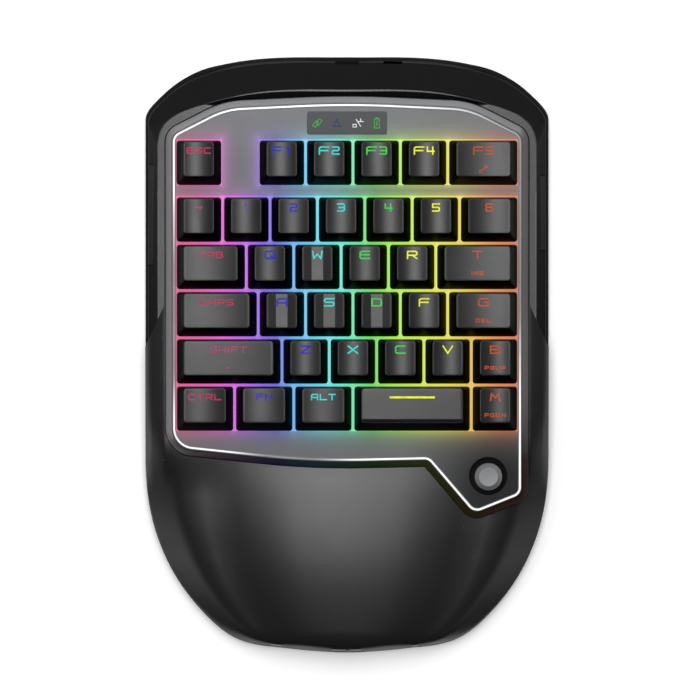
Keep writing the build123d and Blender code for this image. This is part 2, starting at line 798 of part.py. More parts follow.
def make_joystick():
    """The joystick's pieces round its pivot: cap, stick, gimbal and base."""
    u, v = stick_centre()
    pivot = deck_frame * Pos(u, v, -pivot_drop)
    cap_low = pivot_drop + stick_cap_lift
    cap_high = cap_low + stick_cap_thickness
    cap = fillet(rod(stick_cap_radius, cap_low, cap_high).edges().filter_by(GeomType.CIRCLE), stick_cap_round)
    cap -= rod(stick_dish_radius, cap_high - stick_dish_depth, cap_high)
    cap -= rod(stick_shaft_radius + press_clearance, cap_low, cap_low + stick_bore_depth)
    pin_length = gimbal_side - pivot_clearance
    stick = Sphere(stick_ball_radius) + rod(stick_shaft_radius, 0, cap_low + stick_bore_depth - press_clearance)
    stick += Rot(90, 0, 0) * Cylinder(pivot_pin_radius, pin_length)
    gimbal = block(gimbal_side, gimbal_side, -gimbal_thickness / 2, gimbal_thickness / 2)
    pin_span = gimbal_side + 2 * gimbal_pin_reach
    gimbal += Rot(0, 90, 0) * Cylinder(pivot_pin_radius, pin_span)
    gimbal -= block(gimbal_hole, gimbal_hole, -gimbal_thickness, gimbal_thickness)
    gimbal -= Rot(90, 0, 0) * Cylinder(pivot_pin_radius + pivot_clearance, gimbal_side)
    top = pivot_drop - stick_base_top_drop
    base = block(stick_base_side, stick_base_side, -deck_height, top)
    cavity = stick_base_side - 2 * stick_base_wall
    base -= block(cavity, cavity, -stick_base_floor_gap, top - stick_base_lid)
    base -= rod(stick_base_mouth_radius, 0, top)
    base -= Rot(0, 90, 0) * Cylinder(pivot_pin_radius + pivot_clearance, pin_span + 2 * pivot_clearance)
    above = block(body_width, body_length, cover_top, deck_height + overrun)
    return pivot * cap, pivot * stick, pivot * gimbal, (pivot * base) & above


places = key_places()

for name, units, u, v in places:
    cap, stem = make_key(name, units)
    place = deck_frame * Pos(u, v, 0)
    save(f"key_{name}", place * cap, place * stem)

housing = make_switch_housing()
spring = make_spring()
save("switch_housings", *[deck_frame * Pos(u, v, 0) * housing for name, units, u, v in places])
save("switch_springs", *[deck_frame * Pos(u, v, 0) * spring for name, units, u, v in places])

stabilizer = make_stabilizer()
save("stabilizer_housings", *[
    deck_frame * Pos(u + side * stabilizer_spacing, v, 0) * stabilizer
    for name, units, u, v in places
    if name in stabilized_keys
    for side in (-1, 1)
])

panel, window, window_v = make_top_panel(places)
save("top_panel", deck_frame * panel)
save("status_window", deck_frame * window)
save("light_ring", deck_frame * make_light_ring())
save("bezel_frame", deck_frame * make_bezel_frame())

lamp = block(lamp_width, lamp_depth, -housing_depth, lamp_height - housing_depth)
lamps = [deck_frame * Pos(u, v + lamp_offset, 0) * lamp for name, units, u, v in places]
for number in range(status_lamps):
    u = (number - (status_lamps - 1) / 2) * status_lamp_pitch
    lamps.append(deck_frame * Pos(u, window_v, 0) * lamp)
save("light_diodes", *lamps)
save("circuit_board", deck_frame * make_circuit_board(places))

stick_cap, stick, gimbal, stick_base = make_joystick()
save("joystick_cap", stick_cap)
save("joystick_stick", stick)
save("joystick_gimbal", gimbal)
save("joystick_base", stick_base)

save("upper_shell", make_upper_shell())

outer = outer_loft()
inner = outer_loft(outer_wall)
back_outer = outer_loft(outer_wall + moving_clearance)
back_inner = outer_loft(outer_wall + moving_clearance + button_flange_thickness)
save("outer_shell", make_outer_shell(outer, inner))
for name, side, length in [("left", -1, button_left_length), ("right", 1, button_right_length)]:
    save(f"side_button_{name}", make_side_button(side, length, outer, inner, back_outer, back_inner))

save("bottom_cover", make_bottom_cover())
save("case_screws", *[make_screw(x, y) for x, y, on_rail in column_places()])
save("rubber_feet", *[foot_shape(0, 0, foot_height + foot_seat, index) for index in range(len(foot_place_shares))])

battery_y = home_row + battery_row_share * key_pitch
battery_face = RectangleRounded(battery_width, battery_depth, battery_round)
save("battery_pack", Pos(0, battery_y, 0) * prism(battery_face, cover_top, cover_top + battery_height))

board_low = cover_top + port_pad_height
port_board = block(port_board_width, port_board_depth, board_low, board_low + port_board_thickness, 0, port_board_y())
save("port_board", port_board)
save("usb_socket", make_usb_socket())
save("power_slider", make_power_slider())
print("body", round(body_width, 2), round(body_length, 2), "deck", round(deck_front, 2), round(deck_rear, 2))
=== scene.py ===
# One-handed keypad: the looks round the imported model. Metres, +Z up, +Y to the rear.
import bpy
import functools
import math
import numpy as np
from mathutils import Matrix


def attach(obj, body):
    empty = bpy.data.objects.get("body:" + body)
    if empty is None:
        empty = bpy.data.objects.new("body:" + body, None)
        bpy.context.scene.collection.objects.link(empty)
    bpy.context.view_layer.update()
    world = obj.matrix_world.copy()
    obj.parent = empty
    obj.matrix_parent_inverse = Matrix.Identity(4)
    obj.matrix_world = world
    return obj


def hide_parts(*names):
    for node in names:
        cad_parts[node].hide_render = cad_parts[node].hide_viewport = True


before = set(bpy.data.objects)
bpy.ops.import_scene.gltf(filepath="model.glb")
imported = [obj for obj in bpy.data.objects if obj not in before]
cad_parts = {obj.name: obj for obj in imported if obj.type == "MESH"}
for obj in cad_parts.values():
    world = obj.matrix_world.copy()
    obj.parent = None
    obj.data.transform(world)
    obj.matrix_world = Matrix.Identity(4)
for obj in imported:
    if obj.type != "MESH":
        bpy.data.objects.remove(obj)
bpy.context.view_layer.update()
print("stage: frame loaded,", len(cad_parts), "nodes")

# The deck that carries the keys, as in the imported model. Lengths are in millimetres, except in the meshes.
deck = {
    "tilt": math.radians(3.0),
    "height": 19.7,
    "halfWidth": 69.756,
    "front": -42.71,
    "length": 143.92,
    "corners": [(-1.0, 0.041), (-0.20, 0.0), (0.473, 0.007), (0.737, -0.143), (1.0, -0.092),
                (1.0, 0.910), (0.70, 0.984), (0.0, 1.0), (-0.70, 0.984), (-1.0, 0.910)],
    "cornerRound": 4.0,
    "roundShares": [2.0, 100.0, 1.0, 1.0, 0.9, 1.0, 8.0, 100.0, 8.0, 1.0],
    "runShare": 0.45,
    "leastRound": 0.3,
    "arcSteps": 14,
    "homeRow": 16.7,
}
millimetre = 0.001


# Shape tools

def fromDeck(u, v, w):
    # Deck to world: x = u, y = v cos t - w sin t, z = height + v sin t + w cos t, turned into metres
    u, v, w = np.broadcast_arrays(np.asarray(u, float), v, w)
    cosTilt, sinTilt = math.cos(deck["tilt"]), math.sin(deck["tilt"])
    place = [u, v * cosTilt - w * sinTilt, deck["height"] + v * sinTilt + w * cosTilt]
    return np.stack(place, -1) * millimetre


def gridQuads(rows, columns, wrapRows=False, wrapColumns=False, start=0):
    # Quads of a rows x columns grid of points numbered row by row; a wrapped direction closes on itself
    r = np.arange(rows if wrapRows else rows - 1)[:, None]
    c = np.arange(columns if wrapColumns else columns - 1)[None, :]
    a = r * columns + c
    b = r * columns + (c + 1) % columns
    d = ((r + 1) % rows) * columns + c
    e = ((r + 1) % rows) * columns + (c + 1) % columns
    return np.stack([a, b, e, d], -1).reshape(-1, 4) + start


def loopQuads(firstLoop, secondLoop):
    # Quads between two closed loops of point numbers of the same length
    return np.stack([firstLoop, np.roll(firstLoop, -1), np.roll(secondLoop, -1), secondLoop], -1)


def signedVolume(points, faces):
    # Six times the volume inside a closed mesh: the triple products of each face's corner fan, added up
    total = 0.0
    for corner in range(1, faces.shape[1] - 1):
        a, b, c = points[faces[:, 0]], points[faces[:, corner]], points[faces[:, corner + 1]]
        total += np.einsum("ij,ij->i", a, np.cross(b, c)).sum()
    return total


def addPiece(name, shells, materials, body, sharpAngle=38.0):
    # shells: (points, quads, material numbers) of closed surfaces, each turned so that its faces look out
    points, faces, slots, start = [], [], [], 0
    for shellPoints, shellFaces, shellSlots in shells:
        if signedVolume(shellPoints, shellFaces) < 0:
            shellFaces = shellFaces[:, ::-1]
        points.append(shellPoints)
        faces.append(shellFaces + start)
        slots.append(np.broadcast_to(shellSlots, len(shellFaces)))
        start += len(shellPoints)
    mesh = bpy.data.meshes.new(name)
    mesh.from_pydata(np.concatenate(points).tolist(), [], np.concatenate(faces).tolist())
    for material in materials:
        mesh.materials.append(material)
    mesh.polygons.foreach_set("material_index", np.concatenate(slots).astype(np.int32))
    mesh.polygons.foreach_set("use_smooth", np.ones(len(mesh.polygons), bool))
    mesh.set_sharp_from_angle(angle=math.radians(sharpAngle))
    mesh.update()
    piece = bpy.data.objects.new(name, mesh)
    bpy.context.scene.collection.objects.link(piece)
    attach(piece, body)
    return piece


def deckOutline(growth):
    # At each corner an arc of radius min(round, run share) + growth, tangent to both moved sides
    corners = np.array(deck["corners"]) * [deck["halfWidth"], deck["length"]] + [0, deck["front"]]
    into = corners - np.roll(corners, 1, 0)
    onward = np.roll(corners, -1, 0) - corners
    runIn, runOut = np.hypot(*into.T), np.hypot(*onward.T)
    into, onward = into / runIn[:, None], onward / runOut[:, None]
    cosine = (into * onward).sum(1)
    side = np.sign(into[:, 0] * onward[:, 1] - into[:, 1] * onward[:, 0])
    halfTurn = np.arccos(cosine) / 2
    largest = deck["runShare"] * np.minimum(runIn, runOut) / np.tan(halfTurn)
    radius = np.minimum(np.array(deck["roundShares"]) * deck["cornerRound"], largest) + side * growth
    radius = np.maximum(radius, deck["leastRound"])
    normalIn = np.stack([into[:, 1], -into[:, 0]], -1)
    normalOut = np.stack([onward[:, 1], -onward[:, 0]], -1)
    moved = corners + (growth / (1 + cosine))[:, None] * (normalIn + normalOut)
    centre = moved - into * (radius * np.tan(halfTurn))[:, None] - normalIn * (radius * side)[:, None]
    share = np.linspace(0, 1, deck["arcSteps"])
    startAngle = np.arctan2(normalIn[:, 1] * side, normalIn[:, 0] * side)
    angle = startAngle[:, None] + (side * 2 * halfTurn)[:, None] * share
    turned = np.stack([np.cos(angle), np.sin(angle)], -1)
    return (centre[:, None] + radius[:, None, None] * turned).reshape(-1, 2)


def sweepRound(profile, sideSlots=0):
    # A closed profile of (growth, w) pairs carried round the deck's outline; each pair gives a whole outline
    loops = [fromDeck(*deckOutline(growth).T, w) for growth, w in profile]
    slots = np.repeat(np.broadcast_to(sideSlots, len(profile)), len(loops[0]))
    return np.concatenate(loops), gridQuads(len(profile), len(loops[0]), True, True), slots


def lathe(profile, u, v, turns, sideSlots, poleRadius=0.002):
    # A profile of (radius, w) pairs turned about the deck's normal at (u, v); radius zero closes on a pole
    angle = np.linspace(0, 2 * math.pi, turns, endpoint=False)
    radius = np.maximum(np.array(profile)[:, :1], poleRadius)
    w = np.array(profile)[:, 1:]
    points = fromDeck(u + radius * np.cos(angle), v + radius * np.sin(angle), w).reshape(-1, 3)
    return points, gridQuads(len(profile), turns, False, True), np.repeat(sideSlots, turns)


# Shader tools

def tone(red, green, blue):
    # Display values from 0 to 255 turned into linear light
    c = np.array([red, green, blue]) / 255
    return (*np.where(c <= 0.04045, c / 12.92, ((c + 0.055) / 1.055) ** 2.4).tolist(), 1.0)


def put(tree, kind, sockets=None, **settings):
    # One node; a socket among the values is linked, anything else is set
    node = tree.nodes.new("ShaderNode" + kind)
    for key, value in settings.items():
        setattr(node, key, value)
    for key, value in (sockets or {}).items():
        if isinstance(value, bpy.types.NodeSocket):
            tree.links.new(value, node.inputs[key])
        else:
            node.inputs[key].default_value = value
    return node


def work(tree, operation, first, second=0.0, third=0.0):
    # One operation on up to three numbers; MULTIPLY_ADD gives first times second plus third
    return put(tree, "Math", {0: first, 1: second, 2: third}, operation=operation).outputs[0]


def workVector(tree, operation, first, second=(0, 0, 0)):
    # SCALE takes a number as its second value, and LENGTH and DISTANCE give a number
    key = "Scale" if operation == "SCALE" else 1
    node = put(tree, "VectorMath", {0: first, key: second}, operation=operation)
    return node.outputs["Value" if operation in ("LENGTH", "DISTANCE") else "Vector"]


def ramped(tree, value, low, high, least=0.0, most=1.0, kind="SMOOTHSTEP"):
    # The value's share of the way from low to high, smooth or straight, laid between least and most
    sockets = {"Value": value, "From Min": low, "From Max": high, "To Min": least, "To Max": most}
    return put(tree, "MapRange", sockets, interpolation_type=kind).outputs["Result"]


def noise(tree, place, scale, detail, roughness=0.5):
    # Smooth noise about one half, finer with a higher scale and with more detail
    sockets = {"Vector": place, "Scale": scale, "Detail": detail, "Roughness": roughness}
    return put(tree, "TexNoise", sockets).outputs["Fac"]


def along(tree, place, axis):
    # A place's measure along X, Y or Z
    return put(tree, "SeparateXYZ", {0: place}).outputs[axis]


def newGroup(name, inputs, outputs):
    # An empty group with its named sockets, what it is given and what it hands back
    group = bpy.data.node_groups.new(name, "ShaderNodeTree")
    for direction, rows in (("INPUT", inputs), ("OUTPUT", outputs)):
        for label, kind in rows:
            group.interface.new_socket(name=label, in_out=direction, socket_type="NodeSocket" + kind)
    return group, group.nodes.new("NodeGroupInput").outputs, group.nodes.new("NodeGroupOutput").inputs


def useGroup(tree, group, sockets):
    # A group placed in a tree with its own values
    return put(tree, "Group", sockets, node_tree=group).outputs


# Detail and roughness of the two noises, and the share that the fine one has in the shift
moulded = {"fine": (2.0, 0.6), "cloud": (4.0, 0.55), "fineShare": 0.6}


def makeGrain():
    # Fine grain as height, and slow clouds that shift colour and roughness a little
    tree, given, result = newGroup("mouldGrain", [
        ("Vector", "Vector"), ("Fine Scale", "Float"), ("Cloud Scale", "Float"), ("Color", "Color"),
        ("Color Change", "Float"), ("Roughness", "Float"), ("Roughness Change", "Float"),
    ], [("Color", "Color"), ("Roughness", "Float"), ("Height", "Float")])
    fine = noise(tree, given["Vector"], given["Fine Scale"], *moulded["fine"])
    cloud = noise(tree, given["Vector"], given["Cloud Scale"], *moulded["cloud"])
    cloudShift = work(tree, "SUBTRACT", cloud, 0.5)
    fineShift = work(tree, "SUBTRACT", fine, 0.5)
    mixShift = work(tree, "MULTIPLY_ADD", fineShift, moulded["fineShare"], cloudShift)
    scale = work(tree, "MULTIPLY_ADD", mixShift, given["Color Change"], 1.0)
    tree.links.new(workVector(tree, "SCALE", given["Color"], scale), result["Color"])
    rough = work(tree, "MULTIPLY_ADD", mixShift, given["Roughness Change"], given["Roughness"])
    tree.links.new(rough, result["Roughness"])
    tree.links.new(fine, result["Height"])
    return tree


# Outside a lit field the light starts at this share, and a point this near to the field counts as inside it
lampSpill = {"share": 0.5, "touching": 0.00005}


def makeReach():
    # How near a point is to a rectangle in plan: 1 inside, share times exp(-distance / reach) outside
    tree, given, result = newGroup("lampReach", [
        ("Vector", "Vector"), ("Centre", "Vector"), ("Half Size", "Vector"), ("Reach", "Float"),
    ], [("Mask", "Float")])
    folded = workVector(tree, "ABSOLUTE", workVector(tree, "SUBTRACT", given["Vector"], given["Centre"]))
    outside = workVector(tree, "MAXIMUM", workVector(tree, "SUBTRACT", folded, given["Half Size"]))
    distance = workVector(tree, "LENGTH", outside)
    share = work(tree, "DIVIDE", work(tree, "MULTIPLY", distance, -1.0), given["Reach"])
    fading = work(tree, "MULTIPLY", work(tree, "EXPONENT", share), lampSpill["share"])
    inside = work(tree, "LESS_THAN", distance, lampSpill["touching"])
    tree.links.new(work(tree, "MAXIMUM", fading, inside), result["Mask"])
    return tree


# The colours that the lamps run through from the left to the right, as (x in mm, display colour)
spectrum = {
    "stops": [
        (-68.4, (226, 84, 142)), (-59.5, (232, 88, 168)), (-50.6, (236, 90, 215)), (-41.0, (198, 94, 240)),
        (-34.5, (138, 94, 235)), (-28.5, (104, 98, 224)), (-22.0, (98, 176, 242)), (-12.0, (104, 220, 242)),
        (-2.8, (98, 240, 218)), (4.4, (104, 236, 150)), (10.5, (104, 226, 84)), (18.0, (168, 244, 70)),
        (27.0, (206, 244, 72)), (36.0, (236, 238, 76)), (45.0, (240, 222, 80)), (52.5, (240, 182, 76)),
        (60.0, (232, 142, 76)), (68.5, (216, 122, 78)),
    ],
    "left": -72.0, "right": 72.0,
}


def makeSpectrum():
    # Colour by place across the keypad, read off one ramp
    tree, given, result = newGroup("lampSpectrum", [("Vector", "Vector")], [("Color", "Color")])
    low, high = spectrum["left"] * millimetre, spectrum["right"] * millimetre
    share = ramped(tree, along(tree, given["Vector"], "X"), low, high, kind="LINEAR")
    ramp = put(tree, "ValToRGB", {"Fac": share})
    stops = ramp.color_ramp.elements
    for number, (place, colour) in enumerate(spectrum["stops"]):
        position = (place - spectrum["left"]) / (spectrum["right"] - spectrum["left"])
        stop = stops[number] if number < 2 else stops.new(position)
        stop.position = position
        stop.color = tone(*colour)
    tree.links.new(ramp.outputs["Color"], result["Color"])
    return tree


fineMarks = {"detail": 3.0, "soft": 0.08, "patchScale": 90.0, "patchDetail": 2.0, "patchCut": 0.5}


def makeScratches():
    # Long fine marks: noise squeezed along one direction and cut at a threshold, broken up by a slower noise
    tree, given, result = newGroup("fineMarks", [
        ("Vector", "Vector"), ("Stretch", "Vector"), ("Cut", "Float")], [("Mask", "Float")])
    squeezed = workVector(tree, "MULTIPLY", given["Vector"], given["Stretch"])
    lines = noise(tree, squeezed, 1.0, fineMarks["detail"])
    patches = noise(tree, given["Vector"], fineMarks["patchScale"], fineMarks["patchDetail"])
    end = work(tree, "ADD", given["Cut"], fineMarks["soft"])
    cut = ramped(tree, lines, given["Cut"], end, kind="LINEAR")
    kept = work(tree, "GREATER_THAN", patches, fineMarks["patchCut"])
    tree.links.new(work(tree, "MULTIPLY", cut, kept), result["Mask"])
    return tree


# Share of the cells that stay empty, and the specks' tone
specks = {"empty": 0.7, "tone": (150, 150, 150)}


def makeSpecks():
    # Dust: a small round spot in some of the cells, where the distance to the cell's own point is short
    tree, given, result = newGroup("dustSpecks", [
        ("Vector", "Vector"), ("Scale", "Float"), ("Size", "Float")], [("Mask", "Float")])
    cells = put(tree, "TexVoronoi", {"Vector": given["Vector"], "Scale": given["Scale"]}).outputs
    spot = work(tree, "LESS_THAN", cells["Distance"], given["Size"])
    drawn = put(tree, "SeparateColor", {0: cells["Color"]}).outputs[0]
    chosen = work(tree, "GREATER_THAN", drawn, specks["empty"])
    tree.links.new(work(tree, "MULTIPLY", spot, chosen), result["Mask"])
    return tree


# Painted shade beside the joystick: its centre, the distances where it is deepest and where it ends, and its
# least level
paintedShadeSpot = {"centre": (0.062, -0.056, 0.017), "near": 0.008, "far": 0.046, "least": 0.10}


def makePaintedLobeShade():
    # Painted shade: a level that rises smoothly from its least beside the joystick to 1, by the distance from
    # one point
    tree, given, result = newGroup("paintedLobeShade", [("Vector", "Vector")], [("Level", "Float")])
    apart = workVector(tree, "DISTANCE", given["Vector"], paintedShadeSpot["centre"])
    tree.links.new(ramped(tree, apart, paintedShadeSpot["near"], paintedShadeSpot["far"], paintedShadeSpot["least"]), result["Level"])
    return tree


grainGroup = makeGrain()
reachGroup = makeReach()
spectrumGroup = makeSpectrum()
scratchGroup = makeScratches()
speckGroup = makeSpecks()
paintedShadeGroup = makePaintedLobeShade()


def startMaterial(name, level, metal=0.0):
    # A material with its specular level and metal set, its tree, its shader and the object's coordinates
    material = bpy.data.materials.new(name)
    material.use_nodes = True
    tree = material.node_tree
    shader = tree.nodes["Principled BSDF"]
    shader.inputs["Specular IOR Level"].default_value = level
    shader.inputs["Metallic"].default_value = metal
    return material, tree, shader, put(tree, "TexCoord").outputs["Object"]


def roughen(tree, shader, place, colour, roughness, fineScale, cloudScale, colourChange=0.25,
            roughnessChange=0.14, bump=0.15, bumpDistance=0.00004):
    # Grain on a shader: colour, roughness and a bump normal. Returns the group's outputs for further mixing
    grain = useGroup(tree, grainGroup, {
        "Vector": place, "Fine Scale": fineScale, "Cloud Scale": cloudScale, "Color": tone(*colour),
        "Color Change": colourChange, "Roughness": roughness, "Roughness Change": roughnessChange})
    tree.links.new(grain["Color"], shader.inputs["Base Color"])
    tree.links.new(grain["Roughness"], shader.inputs["Roughness"])
    bumped = put(tree, "Bump", {"Height": grain["Height"], "Strength": bump, "Distance": bumpDistance})
    tree.links.new(bumped.outputs["Normal"], shader.inputs["Normal"])
    return grain


def overlay(tree, shader, share, under, over):
    # The surface's colour as one colour laid over another
    mixed = put(tree, "Mix", {"Factor": share, "A": under, "B": over}, data_type="RGBA")
    tree.links.new(mixed.outputs["Result"], shader.inputs["Base Color"])


def shine(tree, shader, colour, strength):
    # Light given off by the surface
    tree.links.new(colour, shader.inputs["Emission Color"])
    shader.inputs["Emission Strength"].default_value = strength


# Materials

# Per finish: the material's name, its specular level and metal, its display colour, and its grain, which is
# roughness, fine scale, cloud scale, colour change, roughness change, bump and bump distance
finishes = {
    "capTop": ("capTopSatin", 0.40, 0.0, (22, 22, 23), (0.31, 2200.0, 60.0, 0.22, 0.08, 0.22)),
    # The cap's sides: glossier, and darker than the top as painted shade
    "capSide": ("capSideGlossPaintedShade", 0.012, 0.0, (4, 4, 5), (0.34, 2200.0, 70.0, 0.3, 0.12, 0.12)),
    "switch": ("switchHousing", 0.4, 0.0, (20, 20, 21), (0.45, 1800.0, 80.0)),
    "stem": ("stemBlue", 0.45, 0.0, (38, 70, 150), (0.4, 1600.0, 90.0)),
    "spring": ("springSteel", 0.5, 1.0, (176, 176, 172), (0.28, 2400.0, 120.0)),
    "panel": ("panelMetal", 0.5, 0.65, (92, 93, 95), (0.46, 3200.0, 34.0, 0.16, 0.12, 0.3, 0.00003)),
    "bezel": ("bezelSatin", 0.5, 0.9, (90, 91, 93), (0.34, 2800.0, 50.0, 0.2, 0.1, 0.2)),
    "ring": ("lightGuide", 0.5, 0.0, (128, 129, 132), (0.35, 1500.0, 60.0, 0.05, 0.1, 0.05)),
    "ringFlank": ("lightGuideFlank", 0.3, 0.0, (120, 121, 124), (0.4, 1500.0, 60.0, 0.05, 0.1, 0.05)),
    "window": ("smokedWindow", 0.12, 0.0, (62, 64, 66), (0.3, 1500.0, 50.0, 0.15, 0.06, 0.03)),
    "palm": ("palmSatin", 0.5, 0.0, (16, 16, 17), (0.30, 2600.0, 28.0, 0.16, 0.06, 0.3)),
    "outer": ("outerBlack", 0.005, 0.0, (19, 19, 20), (0.3, 2600.0, 30.0, 0.2, 0.1, 0.2)),
    "button": ("buttonBlack", 0.02, 0.0, (15, 15, 16), (0.4, 2400.0, 60.0)),
    "cover": ("coverBlack", 0.15, 0.0, (13, 13, 14), (0.55, 1700.0, 40.0, 0.2, 0.1, 0.5)),
    "foot": ("footRubber", 0.3, 0.0, (32, 32, 33), (0.75, 900.0, 60.0, 0.3, 0.1, 0.6, 0.00008)),
    "stick": ("stickRubber", 0.45, 0.0, (88, 90, 92), (0.55, 1900.0, 90.0, 0.2, 0.1, 0.5, 0.00005)),
    # The dish: the same rubber painted paler, a painted highlight
    "stickDishPaintedHighlight": ("stickDishPaintedHighlight", 0.45, 0.0, (124, 126, 128), (0.5, 1700.0, 90.0, 0.25, 0.1, 0.6, 0.00006)),
    "mechanism": ("stickMechanism", 0.1, 0.0, (9, 9, 10), (0.55, 1800.0, 90.0)),
    "board": ("boardLaminate", 0.5, 0.0, (22, 58, 40), (0.35, 900.0, 120.0, 0.3, 0.1, 0.2)),
    "lens": ("lampLens", 0.5, 0.0, (230, 228, 210), (0.2, 1500.0, 100.0, 0.1, 0.05, 0.05)),
    "battery": ("batteryWrap", 0.5, 0.0, (46, 78, 150), (0.32, 700.0, 40.0, 0.15, 0.1, 0.3)),
    "steel": ("plainSteel", 0.5, 1.0, (160, 160, 158), (0.3, 1600.0, 150.0, 0.15, 0.12, 0.15)),
}
# What some finishes have besides: dust as (amount, scale, size), marks as (stretch, cut, roughness change),
# and the lamps' light on them as (reach, level, strength): the lamps' own glow on the lens and the switch
# housings, painted light of the lamps on the panel and the bezel
dust = {"palm": (0.35, 190.0, 0.035), "outer": (0.3, 210.0, 0.03), "cover": (0.5, 160.0, 0.05)}
marks = {"panel": ((90.0, 2600.0, 500.0), 0.64, -0.08), "steel": ((1200.0, 200.0, 900.0), 0.6, 0.15)}
ownGlowAndPaintedLight = {"switch": (0.001, 0.35, 1.0), "panel": (0.0024, 0.8, 1.0), "bezel": (0.0050, 0.07, 1.0),
         "lens": (0.002, 1.0, 1.5)}
# The lit fields as (centre, half size): the main block of keys, the lone left key, the five keys behind it
lampFields = [((0, 0.0167, 0), (0.0688, 0.0474, 1)), ((-0.0595, 0.0776, 0), (0.009, 0.0092, 1)),
              ((0.0167, 0.0776, 0), (0.0522, 0.0092, 1))]
# Painted shade on the bezel, as (axis, start, end, by how much), and how much of the spectrum its front shows
# as a painted reflection of the lamps
bezelPaintedShade = {"front": ("Y", -0.0385, -0.0425, 0.68), "right": ("X", 0.0695, 0.0715, 0.3), "paintedLampTint": 0.014}
# Uneven light as (noise scale, least, most, strength), over the noise's own range
uneven = {"from": 0.3, "to": 0.7, "ring": (38.0, 0.72, 1.0, 1.0), "ringFlank": (52.0, 0.10, 0.16, 1.0),
          "legend": (420.0, 0.8, 1.1)}
# Where the light guide is dim: centre, and the distances from it at which it is dimmest and full
ringDim = {
    "spots": [((-0.071, 0.002, 0.02), 0.008, 0.030), ((-0.071, 0.022, 0.02), 0.012, 0.050),
              ((0.072, 0.055, 0.02), 0.035, 0.075), ((-0.023, -0.044, 0.02), 0.009, 0.031)],
    "depth": 0.96,
}
# The board's pattern: two tones with lines between them, laid over its colour by this share, under a coat
tracks = {"colours": [(24, 66, 44), (18, 50, 36), (52, 96, 62)], "scale": 160.0, "gap": 0.03, "share": 0.6,
          "coat": 0.4}
# Under a lit legend: its colour's share, the specular level and the grain
litGrain = {"share": 0.2, "level": 0.2, "grain": (0.5, 1500.0, 200.0, 0.1, 0.1, 0.1)}


def lampLight(tree, place, reach, level):
    # Light of the lamps as emission: the spectrum's colour times a level times the mask of the nearest lit
    # field;
    # on the panel and the bezel it is painted light
    nearest = 0.0
    for centre, halfSize in lampFields:
        sockets = {"Vector": place, "Centre": centre, "Half Size": halfSize, "Reach": reach}
        nearest = work(tree, "MAXIMUM", useGroup(tree, reachGroup, sockets)["Mask"], nearest)
    colour = useGroup(tree, spectrumGroup, {"Vector": place})["Color"]
    return workVector(tree, "SCALE", colour, work(tree, "MULTIPLY", nearest, level))


def unevenLevel(tree, place, scale, least, most):
    # Slow noise stretched over its own range, laid between least and most
    return ramped(tree, noise(tree, place, scale, 1.0), uneven["from"], uneven["to"], least, most, "LINEAR")


def ringLevel(tree, place):
    # 1 less the depth times the deepest of the dim spots, each a smooth fall of the distance from its centre
    deepest = 0.0
    for centre, near, far in ringDim["spots"]:
        away = workVector(tree, "DISTANCE", place, centre)
        deepest = work(tree, "MAXIMUM", ramped(tree, away, far, near), deepest)
    return work(tree, "MULTIPLY_ADD", deepest, -ringDim["depth"], 1.0)


def paintShadeOnDeck(name, tree, shader, place, grain, light):
    # Painted shade on the panel and the bezel: darker beside the joystick. The bezel is also painted darker
    # along its front and right, and its front shows a little of the lamps' colours as a painted reflection
    shade = useGroup(tree, paintedShadeGroup, {"Vector": place})["Level"]
    if name == "bezel":
        for side in ("front", "right"):
            axis, start, end, fall = bezelPaintedShade[side]
            inside = ramped(tree, along(tree, place, axis), start, end)
            shade = work(tree, "MULTIPLY", shade, work(tree, "MULTIPLY_ADD", inside, -fall, 1.0))
            if side == "front":
                # Painted reflection of the lamps' colours on the bezel's front
                colour = useGroup(tree, spectrumGroup, {"Vector": place})["Color"]
                level = work(tree, "MULTIPLY", inside, bezelPaintedShade["paintedLampTint"])
                both = workVector(tree, "ADD", light, workVector(tree, "SCALE", colour, level))
                tree.links.new(both, shader.inputs["Emission Color"])
    tree.links.new(workVector(tree, "SCALE", grain["Color"], shade), shader.inputs["Base Color"])


def makeFinish(name):
    # Grain on every finish, then what the tables add to it: specks laid over the colour, marks times a change
    # added to the roughness, and light of the lamps or of its own, which on the panel and the bezel is
    # painted light of the lamps; the panel and the bezel also get painted shade
    label, level, metal, colour, grainValues = finishes[name]
    material, tree, shader, place = startMaterial(label, level, metal)
    grain = roughen(tree, shader, place, colour, *grainValues)
    if name in dust:
        amount, scale, size = dust[name]
        mask = useGroup(tree, speckGroup, {"Vector": place, "Scale": scale, "Size": size})["Mask"]
        overlay(tree, shader, work(tree, "MULTIPLY", mask, amount), grain["Color"], tone(*specks["tone"]))
    if name in marks:
        stretch, cut, change = marks[name]
        mask = useGroup(tree, scratchGroup, {"Vector": place, "Stretch": stretch, "Cut": cut})["Mask"]
        rough = work(tree, "MULTIPLY_ADD", mask, change, grain["Roughness"])
        tree.links.new(rough, shader.inputs["Roughness"])
    # Emission: painted light of the lamps on the panel and the bezel, the lamps' own glow on the lens and the
    # switch housings
    if name in ownGlowAndPaintedLight:
        reach, share, strength = ownGlowAndPaintedLight[name]
        light = lampLight(tree, place, reach, share)
        shine(tree, shader, light, strength)
    # Painted shade on the panel and the bezel
    if name in ("panel", "bezel"):
        paintShadeOnDeck(name, tree, shader, place, grain, light)
    if name in uneven:
        scale, least, most, strength = uneven[name]
        lit = unevenLevel(tree, place, scale, least, most)
        if name == "ring":
            lit = work(tree, "MULTIPLY", lit, ringLevel(tree, place))
        shine(tree, shader, lit, strength)
    if name == "board":
        first, second, line = [tone(*c) for c in tracks["colours"]]
        bricks = put(tree, "TexBrick", {"Vector": place, "Scale": tracks["scale"], "Color1": first,
                                        "Color2": second, "Mortar": line, "Mortar Size": tracks["gap"]})
        overlay(tree, shader, tracks["share"], grain["Color"], bricks.outputs["Color"])
        shader.inputs["Coat Weight"].default_value = tracks["coat"]
    return material


